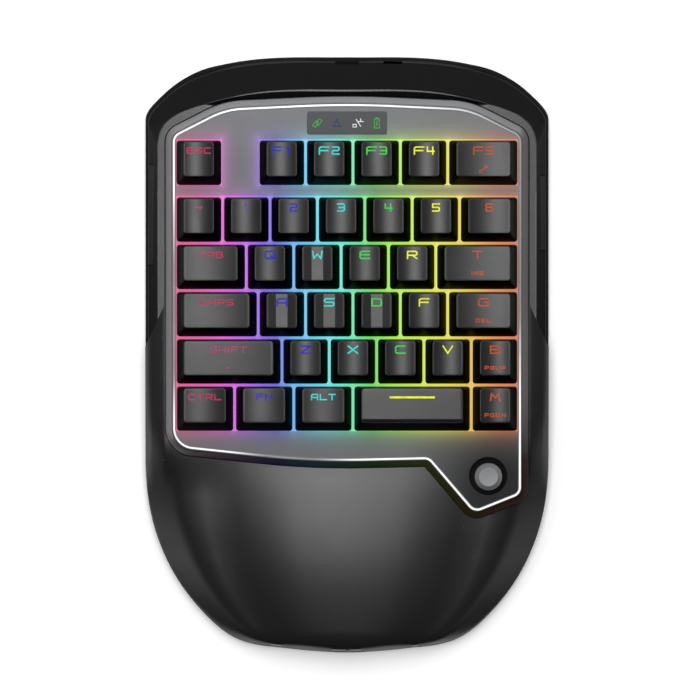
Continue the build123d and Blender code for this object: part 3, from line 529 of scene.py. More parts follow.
def lamplit(name, colour, strength=1.0):
    # A lit legend: its colour as light, a little uneven, over a dim base
    material, tree, shader, place = startMaterial(name, litGrain["level"])
    roughen(tree, shader, place, [value * litGrain["share"] for value in colour], *litGrain["grain"])
    level = unevenLevel(tree, place, *uneven["legend"])
    shine(tree, shader, workVector(tree, "SCALE", tone(*colour)[:3], level), strength)
    return material


materials = {name: makeFinish(name) for name in finishes}
print("stage: materials", len(materials))


# CAD nodes that keep their shape

keptNodes = {
    "switch": ["switch_housings", "stabilizer_housings"], "spring": ["switch_springs"],
    "panel": ["top_panel"], "window": ["status_window"], "lens": ["light_diodes"],
    "board": ["circuit_board", "port_board"], "battery": ["battery_pack"],
    "steel": ["case_screws", "usb_socket"],
    "mechanism": ["joystick_stick", "joystick_gimbal", "joystick_base"],
    "outer": ["outer_shell"], "cover": ["bottom_cover"], "foot": ["rubber_feet"],
    "button": ["side_button_left", "side_button_right", "power_slider"],
}
for finishName, nodes in keptNodes.items():
    for node in nodes:
        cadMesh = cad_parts[node].data
        cadMesh.materials.clear()
        cadMesh.materials.append(materials[finishName])
print("stage: kept nodes", sum(len(nodes) for nodes in keptNodes.values()))


# Light guide and bezel

trim = {
    "guideProfile": [(0.625, -2.7), (0.625, -0.8), (0.42, -0.5), (0.36, -0.08), (0.31, 0.0), (-0.31, 0.0),
                     (-0.36, -0.08), (-0.42, -0.5), (-0.625, -0.8), (-0.625, -1.5), (-2.025, -1.5),
                     (-2.025, -2.7)],
    # Per side of that profile, 0 for the bright face on top and 1 for a flank
    "guideSlots": [1, 1, 1, 0, 0, 0, 1, 1, 1, 1, 1, 1],
    "bezelProfile": [(0.725, -2.7), (0.725, -0.16), (0.78, -0.06), (0.9, -0.06), (1.2, -0.26), (2.2, -1.2),
                     (3.2, -2.14), (3.45, -2.4), (3.575, -2.75), (3.575, -4.2), (-2.025, -4.2),
                     (-2.025, -2.7)],
}
lightRing = addPiece("light_ring_strip", [sweepRound(trim["guideProfile"], trim["guideSlots"])],
                     [materials["ring"], materials["ringFlank"]], "case")
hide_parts("light_ring")
bezel = addPiece("bezel_slope", [sweepRound(trim["bezelProfile"])], [materials["bezel"]], "case")
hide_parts("bezel_frame")
print("stage: light guide and bezel")


# Palm rest and rail

palm = {
    "halfWidth": 81.5, "halfLength": 120.3,
    "outline": [(1, -.341), (.9885, -.474), (.966, -.5555), (.928, -.637), (.8738, -.7175), (.7985, -.798),
                (.6965, -.8785), (.583, -.942), (.507, -.9655), (.397, -.9792), (.227, -.9925)],
    "jointOuter": (81.5, 3.2), "jointInner": (73.5, 20.8), "jointRail": (76.43, 14.1),
    "pocketGrowth": 3.725, "railDrop": 2.6, "wall": 2.0, "foot": 4.45, "edgeRound": 0.35, "edgeInset": 0.3,
    # Rows of the round edge, as (share of the height left, how far in)
    "edgeRows": [(0.3, 0.12), (0.0, 0.0)],
    # How steep the crown falls towards the front, as (y, slope)
    "crownHigh": 15.35,
    "crownFall": [(-45, 0.0), (-62, 0.0), (-79, 0.035), (-95, 0.078), (-112, 0.105), (-117, 0.32),
                  (-119.3, 0.6), (-120.3, 1.1)],
    # How steep the rest and the flank fall from the middle to the side, as (share of the half width, slope)
    "sideFall": [(0, 0.0), (0.25, 0.05), (0.56, 0.21), (0.72, 0.065), (0.81, 0.22), (0.88, 0.66),
                 (1, 0.72)],
    "flankFall": [(0, 0.0), (0.9, 0.0), (0.915, 0.12), (0.965, 0.2), (0.988, 0.42), (1, 0.9)],
    "edgeHeights": [(-120.3, 4.85), (-105, 5.0), (-90, 5.5), (-79, 6.1), (-65, 7.6), (-45, 10.2),
                    (-24, 13.6), (-8, 14.8), (21, 16.2)],
    "blendRear": -34.0, "blendFront": -57.0, "leastHalf": 1.0,
    # Stations round the centre, steps across, how much those crowd outwards, and how late the wall moves in
    "centre": (30.0, 20.0), "stations": 620, "acrossSteps": 44, "crowding": 0.35, "wallPower": 8,
    "sharp": 50.0,
}
rail = {
    "halfWidth": 76.43, "reach": 149.62,
    "rearShares": [(1, .845), (.974, .899), (.794, .9545), (.482, .9926)],
    "grooveStart": 54.5, "grooveEnd": 51.5, "grooveDepth": 1.2, "lipRise": 0.25, "lipWidth": 0.75,
    "thickness": 1.6, "centre": (0.0, 10.0), "stations": 620, "sharp": 30.0,
    # Places across the rail as shares, and how far its edges stand below or above the bed and the lip
    "bedStart": 0.04, "bedEnd": 0.95, "edgeStart": 0.98, "innerDrop": 0.12, "crest": 0.03, "outerDrop": 0.2,
}


def smoothStep(value, low, high):
    # 3 s^2 - 2 s^3 of the clipped share s between low and high
    share = np.clip((np.asarray(value, float) - low) / (high - low), 0, 1)
    return share * share * (3 - 2 * share)


def splineThrough(points, startTangent, endTangent, steps=24):
    # A cubic through the points with matching slope and bend at each; its parameter is the chord length
    points = np.asarray(points, float)
    h = np.hypot(*np.diff(points, axis=0).T)
    count = len(points)
    matrix, right = np.eye(count), np.zeros((count, 2))
    right[0], right[-1] = startTangent, endTangent
    inner = np.arange(1, count - 1)
    matrix[inner, inner - 1] = h[1:]
    matrix[inner, inner] = 2 * (h[:-1] + h[1:])
    matrix[inner, inner + 1] = h[:-1]
    chord = np.diff(points, axis=0) / h[:, None]
    right[1:-1] = 3 * (h[1:, None] * chord[:-1] + h[:-1, None] * chord[1:])
    slope = np.linalg.solve(matrix, right)
    s = np.linspace(0, 1, steps, endpoint=False)[None, :, None]
    p0, p1, m0, m1 = points[:-1, None], points[1:, None], slope[:-1, None], slope[1:, None]
    run = h[:, None, None]
    curve = ((1 + 2 * s) * (1 - s) ** 2 * p0 + s * (1 - s) ** 2 * run * m0
             + s * s * (3 - 2 * s) * p1 + s * s * (s - 1) * run * m1)
    return np.concatenate([curve.reshape(-1, 2), points[-1:]])


def byAngle(path, centre, stations):
    # A path resampled at even steps of its own polar angle about a centre
    offset = np.asarray(path) - centre
    angle = np.unwrap(np.arctan2(offset[:, 1], offset[:, 0]))
    wanted = np.linspace(angle[0], angle[-1], stations)
    way = 1 if angle[-1] > angle[0] else -1
    return np.stack([np.interp(way * wanted, way * angle, path[:, axis]) for axis in (0, 1)], -1)


def mirrored(points, middle):
    # The right half's points from the side to the middle, then their mirror image
    return points + [middle] + [(-x, y) for x, y in points[::-1]]


def palmOutline():
    # The body's outline from its left joint round the front to its right joint
    right = [(palm["halfWidth"] * x, palm["halfLength"] * y) for x, y in palm["outline"]]
    front = splineThrough(mirrored(right, (0, -palm["halfLength"])), (0, -1), (0, 1))[::-1]
    x, y = palm["jointOuter"]
    return np.concatenate([[(-x, y)], front, [(x, y)]])


def railPlan(points):
    # Points of the deck, as deep under it as the rail's surface, seen in plan
    return fromDeck(*points.T, -palm["railDrop"])[:, :2] / millimetre


def pocketPath(first, last, start, end):
    # The deck's pocket edge in plan over the corners first to last, with a plain point at each end
    corners = deckOutline(palm["pocketGrowth"]).reshape(len(deck["corners"]), -1, 2)[first:last + 1]
    return np.concatenate([[start], railPlan(corners.reshape(-1, 2)), [end]])


def railPlane(y):
    # Height of the rail's plane at a place along the keypad
    return deck["height"] + (y * math.sin(deck["tilt"]) - palm["railDrop"]) / math.cos(deck["tilt"])


def fallen(knots, place, steps=600):
    # The running integral of a slope given at knots, read at a place
    x, slope = np.array(knots, float).T
    fine = np.linspace(x[0], x[-1], steps)
    steep = np.interp(fine * np.sign(x[-1]), x * np.sign(x[-1]), slope)
    total = np.concatenate([[0], np.cumsum((steep[1:] + steep[:-1]) / 2 * np.abs(np.diff(fine)))])
    return np.interp(place * np.sign(x[-1]), fine * np.sign(x[-1]), total)


outline = palmOutline()
leftSide = outline[:len(outline) // 2 + 1]


def palmHeight(x, y):
    # Flank: the rail's plane less its own fall; rest: edge + (crown - edge)(1 - side fall), blended along y
    half = np.interp(-y, -leftSide[:, 1], -leftSide[:, 0])
    share = np.clip(np.abs(x) / np.maximum(half, palm["leastHalf"]), 0, 1)
    edge = np.interp(y, *np.array(palm["edgeHeights"]).T)
    crown = palm["crownHigh"] - fallen(palm["crownFall"], y)
    down = fallen(palm["sideFall"], share) / fallen(palm["sideFall"], 1.0)
    rest = edge + (crown - edge) * (1 - down)
    plane = railPlane(y)
    flat = fallen(palm["flankFall"], share) / fallen(palm["flankFall"], 1.0)
    flank = plane - (plane - edge) * flat
    blend = smoothStep(-y, -palm["blendRear"], -palm["blendFront"])
    return flank * (1 - blend) + rest * blend


def sheetShell(top, bottom):
    # A closed plate between two point sheets (stations x steps): the sheets, their long sides and both ends
    stations, steps = top.shape[:2]
    ring = np.concatenate([top, bottom[:, ::-1]], 1)
    count = 2 * steps
    faces = gridQuads(stations, count, False, True)
    i = np.arange(steps - 1)
    end = np.stack([i, i + 1, count - 2 - i, count - 1 - i], -1)
    ends = np.concatenate([end[:, ::-1], end + (stations - 1) * count])
    return ring.reshape(-1, 3) * millimetre, np.concatenate([faces, ends]), 0


def palmShell():
    # Top: lines from the pocket's edge to the outline, raised to palmHeight; then a round edge and the wall
    x, y = palm["jointInner"]
    inner = byAngle(pocketPath(0, 4, (-x, y), (x, y)), palm["centre"], palm["stations"])
    outer = byAngle(outline, palm["centre"], palm["stations"])
    share = np.linspace(0, 1, palm["acrossSteps"])
    share = (share + palm["crowding"] * np.sin(math.pi * share) / math.pi)[None, :, None]
    plan = inner[:, None] + (outer - inner)[:, None] * share
    surface = np.concatenate([plan, palmHeight(plan[..., 0], plan[..., 1])[..., None]], -1)
    inward = (inner - outer) / np.hypot(*(inner - outer).T)[:, None]
    edge = surface[:, -1, 2]
    wallTop = np.maximum(edge - palm["edgeRound"], palm["foot"])
    levels = [(wallTop + (edge - wallTop) * height, inset) for height, inset in palm["edgeRows"]]
    levels.append((np.full(len(outer), palm["foot"]), 0.0))
    rows = [np.concatenate([outer + inward * inset, level[:, None]], -1) for level, inset in levels]
    inside = [np.concatenate([outer + inward * palm["wall"], level[:, None]], -1) for level, _ in levels]
    surface[:, -1, :2] += inward * palm["edgeInset"]
    under = surface - [0, 0, palm["wall"]]
    under[..., 2] = np.maximum(under[..., 2], palm["foot"])
    under[:, 1:, :2] += (inward * palm["wall"])[:, None] * (share ** palm["wallPower"])[:, 1:]
    return sheetShell(np.concatenate([surface, np.stack(rows, 1)], 1),
                      np.concatenate([under, np.stack(inside, 1)], 1))


def railShell():
    # Across the rail: an edge, a bed that sinks into a groove along the rear, and a raised lip on the
    # outside; the groove's edge and bed take the black finish as painted shade
    x, y = palm["jointInner"]
    inner = byAngle(pocketPath(5, 9, (x, y), (-x, y)), rail["centre"], rail["stations"])
    curve = [(rail["halfWidth"] * a, deck["front"] + rail["reach"] * b) for a, b in rail["rearShares"]]
    rear = splineThrough(mirrored(curve, (0, deck["front"] + rail["reach"])), (0, 1), (0, -1))
    a, b = palm["jointRail"]
    outer = byAngle(np.concatenate([[(a, b)], railPlan(rear), [(-a, b)]]), rail["centre"], rail["stations"])
    sunk = smoothStep(-np.abs(inner[:, 0]), -rail["grooveStart"], -rail["grooveEnd"])
    lip = 1 - rail["lipWidth"] / np.hypot(*(outer - inner).T)
    shares = [0 * lip, rail["bedStart"] + 0 * lip, lip * rail["bedEnd"], lip, (1 + lip) / 2,
              rail["edgeStart"] + 0 * lip, 1 + 0 * lip]
    bed, high = -rail["grooveDepth"] * sunk, rail["lipRise"] * sunk
    heights = [bed - rail["innerDrop"], bed, high - rail["innerDrop"] * sunk, high, high + rail["crest"],
               high - rail["crest"], high - rail["outerDrop"]]
    plan = inner[:, None] + (outer - inner)[:, None] * np.stack(shares, 1)[..., None]
    plane = railPlane(plan[..., 1])
    top = np.concatenate([plan, (plane + np.stack(heights, 1))[..., None]], -1)
    bottom = np.concatenate([plan, (plane - rail["thickness"] - rail["grooveDepth"])[..., None]], -1)
    points, faces, _ = sheetShell(top, bottom)
    slots = np.zeros(len(faces))
    # The inner edge and the bed of the groove along the rear take the black finish: painted shade
    shadedGrooveFaces = np.nonzero(sunk[:-1] > 0.5)[0][:, None] * 2 * len(shares) + [0, 1]
    slots[shadedGrooveFaces.ravel()] = 1
    return points, faces, slots


palmRest = addPiece("palm_rest", [palmShell()], [materials["palm"]], "case", palm["sharp"])
railBand = addPiece("rail_band", [railShell()], [materials["palm"], materials["outer"]], "case",
                    rail["sharp"])
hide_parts("upper_shell")
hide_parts("upper_shell")


# The flange round the foot of the black shell, as the right half of its edge in plan and its section
flange = {
    "side": [(81.35, 7.0), (81.45, 50.0)],
    "curve": [(81.45, 88.0), (80.5, 97.1), (76.5, 103.2), (69.7, 109.25), (58.7, 115.4), (47.1, 118.05),
              (35.0, 119.3), (22.9, 120.05), (10.7, 120.43)],
    "middle": (0.0, 120.53), "section": [(2.4, 7.1), (1.6, 7.1), (0.5, 5.9), (0.0, 5.0)], "foot": 4.5,
    "sharp": 30.0,
}


def flangeShell():
    # The section carried along the edge: each of its points stands in from the edge along the edge's normal
    curve = splineThrough(mirrored(flange["curve"], flange["middle"]), (0, 1), (0, -1))
    path = np.concatenate([flange["side"], curve, [(-x, y) for x, y in flange["side"][::-1]]])
    step = np.gradient(path, axis=0)
    inward = np.stack([-step[:, 1], step[:, 0]], -1) / np.hypot(*step.T)[:, None]
    top = np.stack([np.concatenate([path + inward * inset, np.full((len(path), 1), z)], -1)
                    for inset, z in flange["section"]], 1)
    bottom = top.copy()
    bottom[..., 2] = flange["foot"]
    return sheetShell(top, bottom)


addPiece("shell_flange", [flangeShell()], [materials["outer"]], "case", flange["sharp"])
print("stage: palm rest and rail")


# Keycaps

keycap = {
    "pitch": 19.05, "gap": 1.05, "fieldUnits": 7.25, "skirtHeight": 5.4, "height": 9.0,
    "sideDraw": 2.9, "frontDraw": 3.75, "rearDraw": 0.25, "baseRound": 1.1, "topRound": 1.2,
    "leastRound": 0.3, "edgeRound": 0.35, "rimRound": 0.15, "wall": 1.3, "topWall": 1.6, "dishDepth": 0.7,
    "sharp": 30.0,
    # The keys with flat bands, and the band's share of the half width
    "faceted": ("w", "a", "s", "d"), "facetShare": 0.38, "creaseWidth": 0.05,
    # The space bar's slanted front; a grid line this near to its crease gives way to two lines beside it
    "chamferDepth": 1.5, "chamferDrop": 0.65, "creaseClear": 0.03, "creaseHalf": 0.006,
    # Past this turn of the edge, in radians, the side's finish starts: glossier, and painted darker as
    # painted shade
    "sideStart": 1.2, "acrossSteps": 18, "alongSteps": 18, "edgeSteps": 6, "wallSteps": 4,
}
keyRows = [
    (3.2, [("esc", 1.0), (None, 0.75), ("f1", 1.0), ("f2", 1.0), ("f3", 1.0), ("f4", 1.0), ("f5", 1.5)]),
    (2.0, [("grave", 1.0), ("1", 1.0), ("2", 1.0), ("3", 1.0), ("4", 1.0), ("5", 1.0), ("6", 1.25)]),
    (1.0, [("tab", 1.5), ("q", 1.0), ("w", 1.0), ("e", 1.0), ("r", 1.0), ("t", 1.75)]),
    (0.0, [("caps", 1.75), ("a", 1.0), ("s", 1.0), ("d", 1.0), ("f", 1.0), ("g", 1.5)]),
    (-1.0, [("shift", 2.25), ("z", 1.0), ("x", 1.0), ("c", 1.0), ("v", 1.0), ("b", 1.0)]),
    (-2.0, [("ctrl", 1.25), ("fn", 1.25), ("alt", 1.25), ("space", 2.5), ("m", 1.0)]),
]


def keyPlaces():
    # Key centres: the running sum of widths along each row, from the field's left edge
    places = {}
    for spacings, keys in keyRows:
        left = -keycap["fieldUnits"] * keycap["pitch"] / 2
        for name, units in keys:
            width = units * keycap["pitch"]
            if name is not None:
                places[name] = (units, left + width / 2, deck["homeRow"] + spacings * keycap["pitch"])
            left += width
    return places


def capOutline(units, height, inset, s, t):
    # Grid shares s, t in -1..1 onto a rounded rectangle whose sides lean in with height; corners bend to arcs
    share = height / keycap["height"]
    a = units * keycap["pitch"] / 2 - keycap["gap"] / 2 - keycap["sideDraw"] * share - inset
    depthDraw = (keycap["frontDraw"] + keycap["rearDraw"]) / 2
    b = (keycap["pitch"] - keycap["gap"]) / 2 - depthDraw * share - inset
    shift = (keycap["frontDraw"] - keycap["rearDraw"]) / 2 * share
    r = keycap["baseRound"] + (keycap["topRound"] - keycap["baseRound"]) * share - inset
    r = np.maximum(r, keycap["leastRound"])
    x, y = a * s, b * t
    p, q = (np.abs(x) - (a - r)) / r, (np.abs(y) - (b - r)) / r
    inCorner = (p > 0) & (q > 0)
    bend = np.where(inCorner, np.maximum(p, q) / np.maximum(np.hypot(p, q), 1e-9), 1.0)
    x = np.where(inCorner, np.sign(x) * (a - r + r * p * bend), x)
    y = np.where(inCorner, np.sign(y) * (b - r + r * q * bend), y)
    return x, y + shift


def capTop(name, units, x, y):
    # The finger's surface: a dish z = H - d (1 - (x / half)^2), flat bands, or a flat with a slanted front
    high, drop = keycap["height"], keycap["dishDepth"]
    half = units * keycap["pitch"] / 2 - keycap["gap"] / 2 - keycap["sideDraw"]
    if name in keycap["faceted"]:
        flat = half * keycap["facetShare"]
        return high - drop + drop * np.clip((np.abs(x) - flat) / (half - flat), 0, 1)
    if name == "space":
        front = -(keycap["pitch"] - keycap["gap"]) / 2 + keycap["frontDraw"]
        past = np.clip(front + keycap["chamferDepth"] - y, 0, None)
        return high - keycap["chamferDrop"] * past / keycap["chamferDepth"]
    return high - drop * (1 - np.clip(np.abs(x) / half, 0, 1) ** 2)


def capShares(name, units):
    # Grid shares across and along a cap, with pairs of close lines at the creases of its surface
    across = np.linspace(-1, 1, int(keycap["acrossSteps"] * max(units, 1) // 2) * 2 + 1)
    along = np.linspace(-1, 1, keycap["alongSteps"] + 1)
    if name in keycap["faceted"]:
        a = units * keycap["pitch"] / 2 - keycap["gap"] / 2 - keycap["sideDraw"] - keycap["edgeRound"]
        crease = (a + keycap["edgeRound"]) * keycap["facetShare"] / a
        width = keycap["creaseWidth"] / a
        extra = [crease - width, crease + width, -crease - width, -crease + width]
        across = np.unique(np.concatenate([across[np.abs(np.abs(across) - crease) > 2 * width], extra]))
    if name == "space":
        half = (keycap["pitch"] - keycap["gap"] - keycap["frontDraw"] - keycap["rearDraw"]) / 2
        crease = (keycap["chamferDepth"] - half) / (half - keycap["edgeRound"])
        extra = [crease - keycap["creaseHalf"], crease + keycap["creaseHalf"]]
        along = np.unique(np.concatenate([along[np.abs(along - crease) > keycap["creaseClear"]], extra]))
    return across, along


def capShell(name, units):
    # One closed shell: the finger's surface, its round edge, the leaning walls, the rim and the hollow inside
    s, t = np.meshgrid(*capShares(name, units))
    rows, columns = s.shape
    number = np.arange(rows * columns).reshape(rows, columns)
    edgeLoop = np.concatenate([number[0, :-1], number[:-1, -1], number[-1, :0:-1], number[:0:-1, 0]])
    sEdge, tEdge = s.ravel()[edgeLoop], t.ravel()[edgeLoop]

    x, y = capOutline(units, keycap["height"], keycap["edgeRound"], s.ravel(), t.ravel())
    sheets = [np.stack([x, y, capTop(name, units, x, y)], -1)]
    faces, slots = [gridQuads(rows, columns)], [np.zeros((rows - 1) * (columns - 1))]
    lastLoop, start = edgeLoop, rows * columns

    def addLoop(xLoop, yLoop, zLoop, slotNumber=1):
        nonlocal lastLoop, start
        sheets.append(np.stack(np.broadcast_arrays(xLoop, yLoop, zLoop), -1))
        loop = np.arange(len(edgeLoop)) + start
        faces.append(loopQuads(lastLoop, loop)[:, ::-1])
        slots.append(np.full(len(loop), slotNumber))
        lastLoop, start = loop, start + len(loop)

    for angle in np.linspace(0, math.pi / 2, keycap["edgeSteps"])[1:]:
        inset = keycap["edgeRound"] * (1 - math.sin(angle))
        drop = keycap["edgeRound"] * (1 - math.cos(angle))
        x, y = capOutline(units, keycap["height"] - drop, inset, sEdge, tEdge)
        addLoop(x, y, capTop(name, units, x, y) - drop, 0 if angle < keycap["sideStart"] else 1)
    edgeHeight = capTop(name, units, x, y) - keycap["edgeRound"]
    ceiling = keycap["height"] - keycap["topWall"]
    shares = np.linspace(1, 0, keycap["wallSteps"] + 1)[1:]
    loops = [(np.maximum(edgeHeight * share, keycap["rimRound"]), 0.0) for share in shares]
    loops += [(0.0, keycap["rimRound"]), (0.0, keycap["wall"] - keycap["rimRound"]),
              (keycap["rimRound"], keycap["wall"]), (ceiling / 2, keycap["wall"])]
    for height, inset in loops:
        addLoop(*capOutline(units, height, inset, sEdge, tEdge), height)
    x, y = capOutline(units, ceiling, keycap["wall"], s.ravel(), t.ravel())
    sheets.append(np.stack(np.broadcast_arrays(x, y, ceiling), -1))
    faces.append(loopQuads(lastLoop, edgeLoop + start)[:, ::-1])
    faces.append(gridQuads(rows, columns, start=start)[:, ::-1])
    slots.append(np.ones(len(edgeLoop) + (rows - 1) * (columns - 1)))
    return np.concatenate(sheets), np.concatenate(faces), np.concatenate(slots)


stem = {
    "width": 7.2, "depth": 5.5, "low": 1.0, "high": 6.9, "round": 0.3, "topShare": 0.94, "pinch": 0.001,
    "arm": 4.0, "thickness": 1.1, "crossHeight": 3.5,
}


def upright(outline, heights, scales):
    # A closed upright bar: the outline at each height with its own scale, pinched to its centre at both ends
    outline = np.asarray(outline, float)
    centre = outline.mean(0)
    scales = np.array([stem["pinch"], *scales, stem["pinch"]])
    levels = np.array([heights[0], *heights, heights[-1]])
    loops = centre + (outline - centre)[None] * scales[:, None, None]
    points = np.concatenate([loops, np.broadcast_to(levels[:, None, None], (*loops.shape[:2], 1))], -1)
    return points.reshape(-1, 3), gridQuads(len(levels), len(outline), False, True), 0


def stemShells():
    # The switch's slider as a block, and the cross on it that the cap is pressed on
    w, d, r = stem["width"] / 2, stem["depth"] / 2, stem["round"]
    block = [(-w + r, -d), (w - r, -d), (w, -d + r), (w, d - r),
             (w - r, d), (-w + r, d), (-w, d - r), (-w, -d + r)]
    a, h = stem["arm"] / 2, stem["thickness"] / 2
    cross = [(-a, -h), (-h, -h), (-h, -a), (h, -a), (h, -h), (a, -h),
             (a, h), (h, h), (h, a), (-h, a), (-h, h), (-a, h)]
    return [upright(block, [stem["low"], stem["high"] - r, stem["high"]], [1, 1, stem["topShare"]]),
            upright(cross, [stem["high"], stem["high"] + stem["crossHeight"]], [1, 1])]


def onDeck(shells, u, v, lift=0.0):
    # Shells drawn about the origin, moved to a spot on the deck and turned into the world
    return [(fromDeck(u + points[:, 0], v + points[:, 1], lift + points[:, 2]), faces, slots)
            for points, faces, slots in shells]


places = keyPlaces()
for keyName, (units, u, v) in places.items():
    body = f"key_{keyName}_body"
    cap = addPiece(f"cap_{keyName}", onDeck([capShell(keyName, units)], u, v, keycap["skirtHeight"]),
                   [materials["capTop"], materials["capSide"]], body, keycap["sharp"])
    slider = addPiece(f"stem_{keyName}", onDeck(stemShells(), u, v), [materials["stem"]], body)
    for piece in (cap, slider):
        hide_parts(f"key_{keyName}")
print("stage: keycaps", len(places))


# Legends

# Strokes of plain squared letters in a unit box, (0, 0) at the lower left
glyphs = {
    "1": [[(0.28, 0.82), (0.55, 1), (0.55, 0)]],
    "2": [[(0, 1), (0.85, 1), (1, 0.85), (1, 0.65), (0.85, 0.5), (0.15, 0.5), (0, 0.35), (0, 0), (1, 0)]],
    "3": [[(0, 1), (0.85, 1), (1, 0.85), (1, 0.15), (0.85, 0), (0, 0)], [(0.2, 0.5), (1, 0.5)]],
    "4": [[(0, 1), (0, 0.4), (1, 0.4)], [(0.82, 1), (0.82, 0)]],
    "5": [[(1, 1), (0, 1), (0, 0.52), (0.85, 0.52), (1, 0.4), (1, 0.12), (0.85, 0), (0, 0)]],
    "6": [[(0.95, 1), (0.15, 1), (0, 0.85), (0, 0.12), (0.15, 0), (0.85, 0), (1, 0.12), (1, 0.42),
           (0.85, 0.52), (0, 0.52)]],
    "A": [[(0, 0), (0, 0.8), (0.2, 1), (1, 1), (1, 0)], [(0, 0.42), (1, 0.42)]],
    "B": [[(0, 0), (0, 1), (0.82, 1), (0.95, 0.88), (0.95, 0.62), (0.82, 0.52), (1, 0.4), (1, 0.12),
           (0.86, 0), (0, 0)], [(0, 0.52), (0.82, 0.52)]],
    "C": [[(1, 1), (0.16, 1), (0, 0.84), (0, 0.16), (0.16, 0), (1, 0)]],
    "D": [[(0, 0), (0, 1), (0.84, 1), (1, 0.84), (1, 0.16), (0.84, 0), (0, 0)]],
    "E": [[(1, 1), (0.16, 1), (0, 0.84), (0, 0.16), (0.16, 0), (1, 0)], [(0, 0.52), (0.95, 0.52)]],
    "F": [[(0, 0), (0, 0.84), (0.16, 1), (1, 1)], [(0, 0.5), (0.9, 0.5)]],
    "G": [[(1, 1), (0.16, 1), (0, 0.84), (0, 0.16), (0.16, 0), (1, 0), (1, 0.5), (0.6, 0.5)]],
    "H": [[(0, 0), (0, 1)], [(1, 0), (1, 1)], [(0, 0.5), (1, 0.5)]],
    "I": [[(0.5, 0), (0.5, 1)]],
    "L": [[(0, 1), (0, 0), (1, 0)]],
    "M": [[(0, 0), (0.1, 1), (0.5, 0.4), (0.9, 1), (1, 0)]],
    "N": [[(0, 0), (0, 1), (1, 0), (1, 1)]],
    "P": [[(0, 0), (0, 1), (0.85, 1), (1, 0.87), (1, 0.55), (0.85, 0.42), (0, 0.42)]],
    "Q": [[(0.16, 0), (0, 0.16), (0, 0.84), (0.16, 1), (0.84, 1), (1, 0.84), (1, 0.16), (0.84, 0),
           (0.16, 0)], [(0.62, 0.3), (1.08, -0.04)]],
    "R": [[(0, 0), (0, 1), (0.85, 1), (1, 0.87), (1, 0.58), (0.85, 0.45), (0, 0.45)], [(0.5, 0.45), (1, 0)]],
    "S": [[(1, 1), (0.15, 1), (0, 0.87), (0, 0.62), (0.15, 0.5), (0.85, 0.5), (1, 0.38), (1, 0.13),
           (0.85, 0), (0, 0)]],
    "T": [[(0, 1), (1, 1)], [(0.5, 1), (0.5, 0)]],
    "U": [[(0, 1), (0, 0.16), (0.16, 0), (0.84, 0), (1, 0.16), (1, 1)]],
    "V": [[(0, 1), (0.5, 0), (1, 1)]],
    "W": [[(0, 1), (0.12, 0), (0.5, 0.62), (0.88, 0), (1, 1)]],
    "X": [[(0, 0), (1, 1)], [(0, 1), (1, 0)]],
    "Z": [[(0, 1), (1, 1), (0, 0), (1, 0)]],
    "~": [[(0, 0.45), (0.25, 0.7), (0.7, 0.35), (1, 0.6)]],
    "^": [[(0, 0.2), (0.5, 0.9), (1, 0.2)]],
    "&": [[(0, 0), (0.34, 0), (0.34, 0.34), (0, 0.34), (0, 0)], [(0.34, 0.34), (0.66, 0.66)],
          [(0.66, 0.66), (1, 0.66), (1, 1), (0.66, 1), (0.66, 0.66)]],
    "_": [[(0, 0.5), (1, 0.5)]],
}
legend = {
    "stroke": 0.56, "smallStroke": 0.36, "wordShare": 0.85, "barStroke": 0.85, "proud": 0.035, "sunk": 0.06,
    "step": 0.35, "leastCosine": 0.5, "behind": 5.2, "ahead": -2.1, "barDrop": 0.1,
    # Letter width, letter height and the gap between letters, by kind of text or by the sign itself
    "letter": (4.3, 3.4, 0.9), "digit": (3.2, 3.4, 0.9), "word": (2.9, 2.6, 0.62),
    "small": (1.75, 1.6, 0.5),
    "_": (18.1, 1.2, 0), "~": (3.0, 2.4, 0), "&": (3.4, 3.0, 0), "^": (1.6, 1.2, 0), "narrowShare": 0.25,
}
legendColours = {
    "crimson": (176, 44, 86), "rose": (176, 46, 116), "indigo": (30, 24, 182), "violet": (94, 50, 164),
    "cyan": (52, 214, 206), "green": (52, 208, 66), "yellow": (236, 240, 48), "orange": (186, 75, 22),
}
# The keys of a row and the colours of their legends
legendRows = [
    ("esc f1 f2 f3 f4 f5", "crimson indigo cyan green yellow orange"),
    ("grave 1 2 3 4 5 6", "crimson violet indigo cyan green yellow orange"),
    ("tab q w e r t", "crimson indigo cyan green yellow orange"),
    ("caps a s d f g", "crimson indigo cyan green yellow orange"),
    ("shift z x c v b", "rose indigo cyan green yellow orange"),
    ("ctrl fn alt m space", "crimson indigo cyan orange yellow"),
]
# Behind stands the key's own name, but for these keys, and ahead stands a second word on some
behindWords = {"grave": "~", "space": "_"}
aheadWords = {"f5": "&", "t": "INS", "g": "DEL", "shift": "^", "b": "PGUP", "m": "PGDN"}
legendMaterials = {name: lamplit(f"legend_{name}", colour) for name, colour in legendColours.items()}


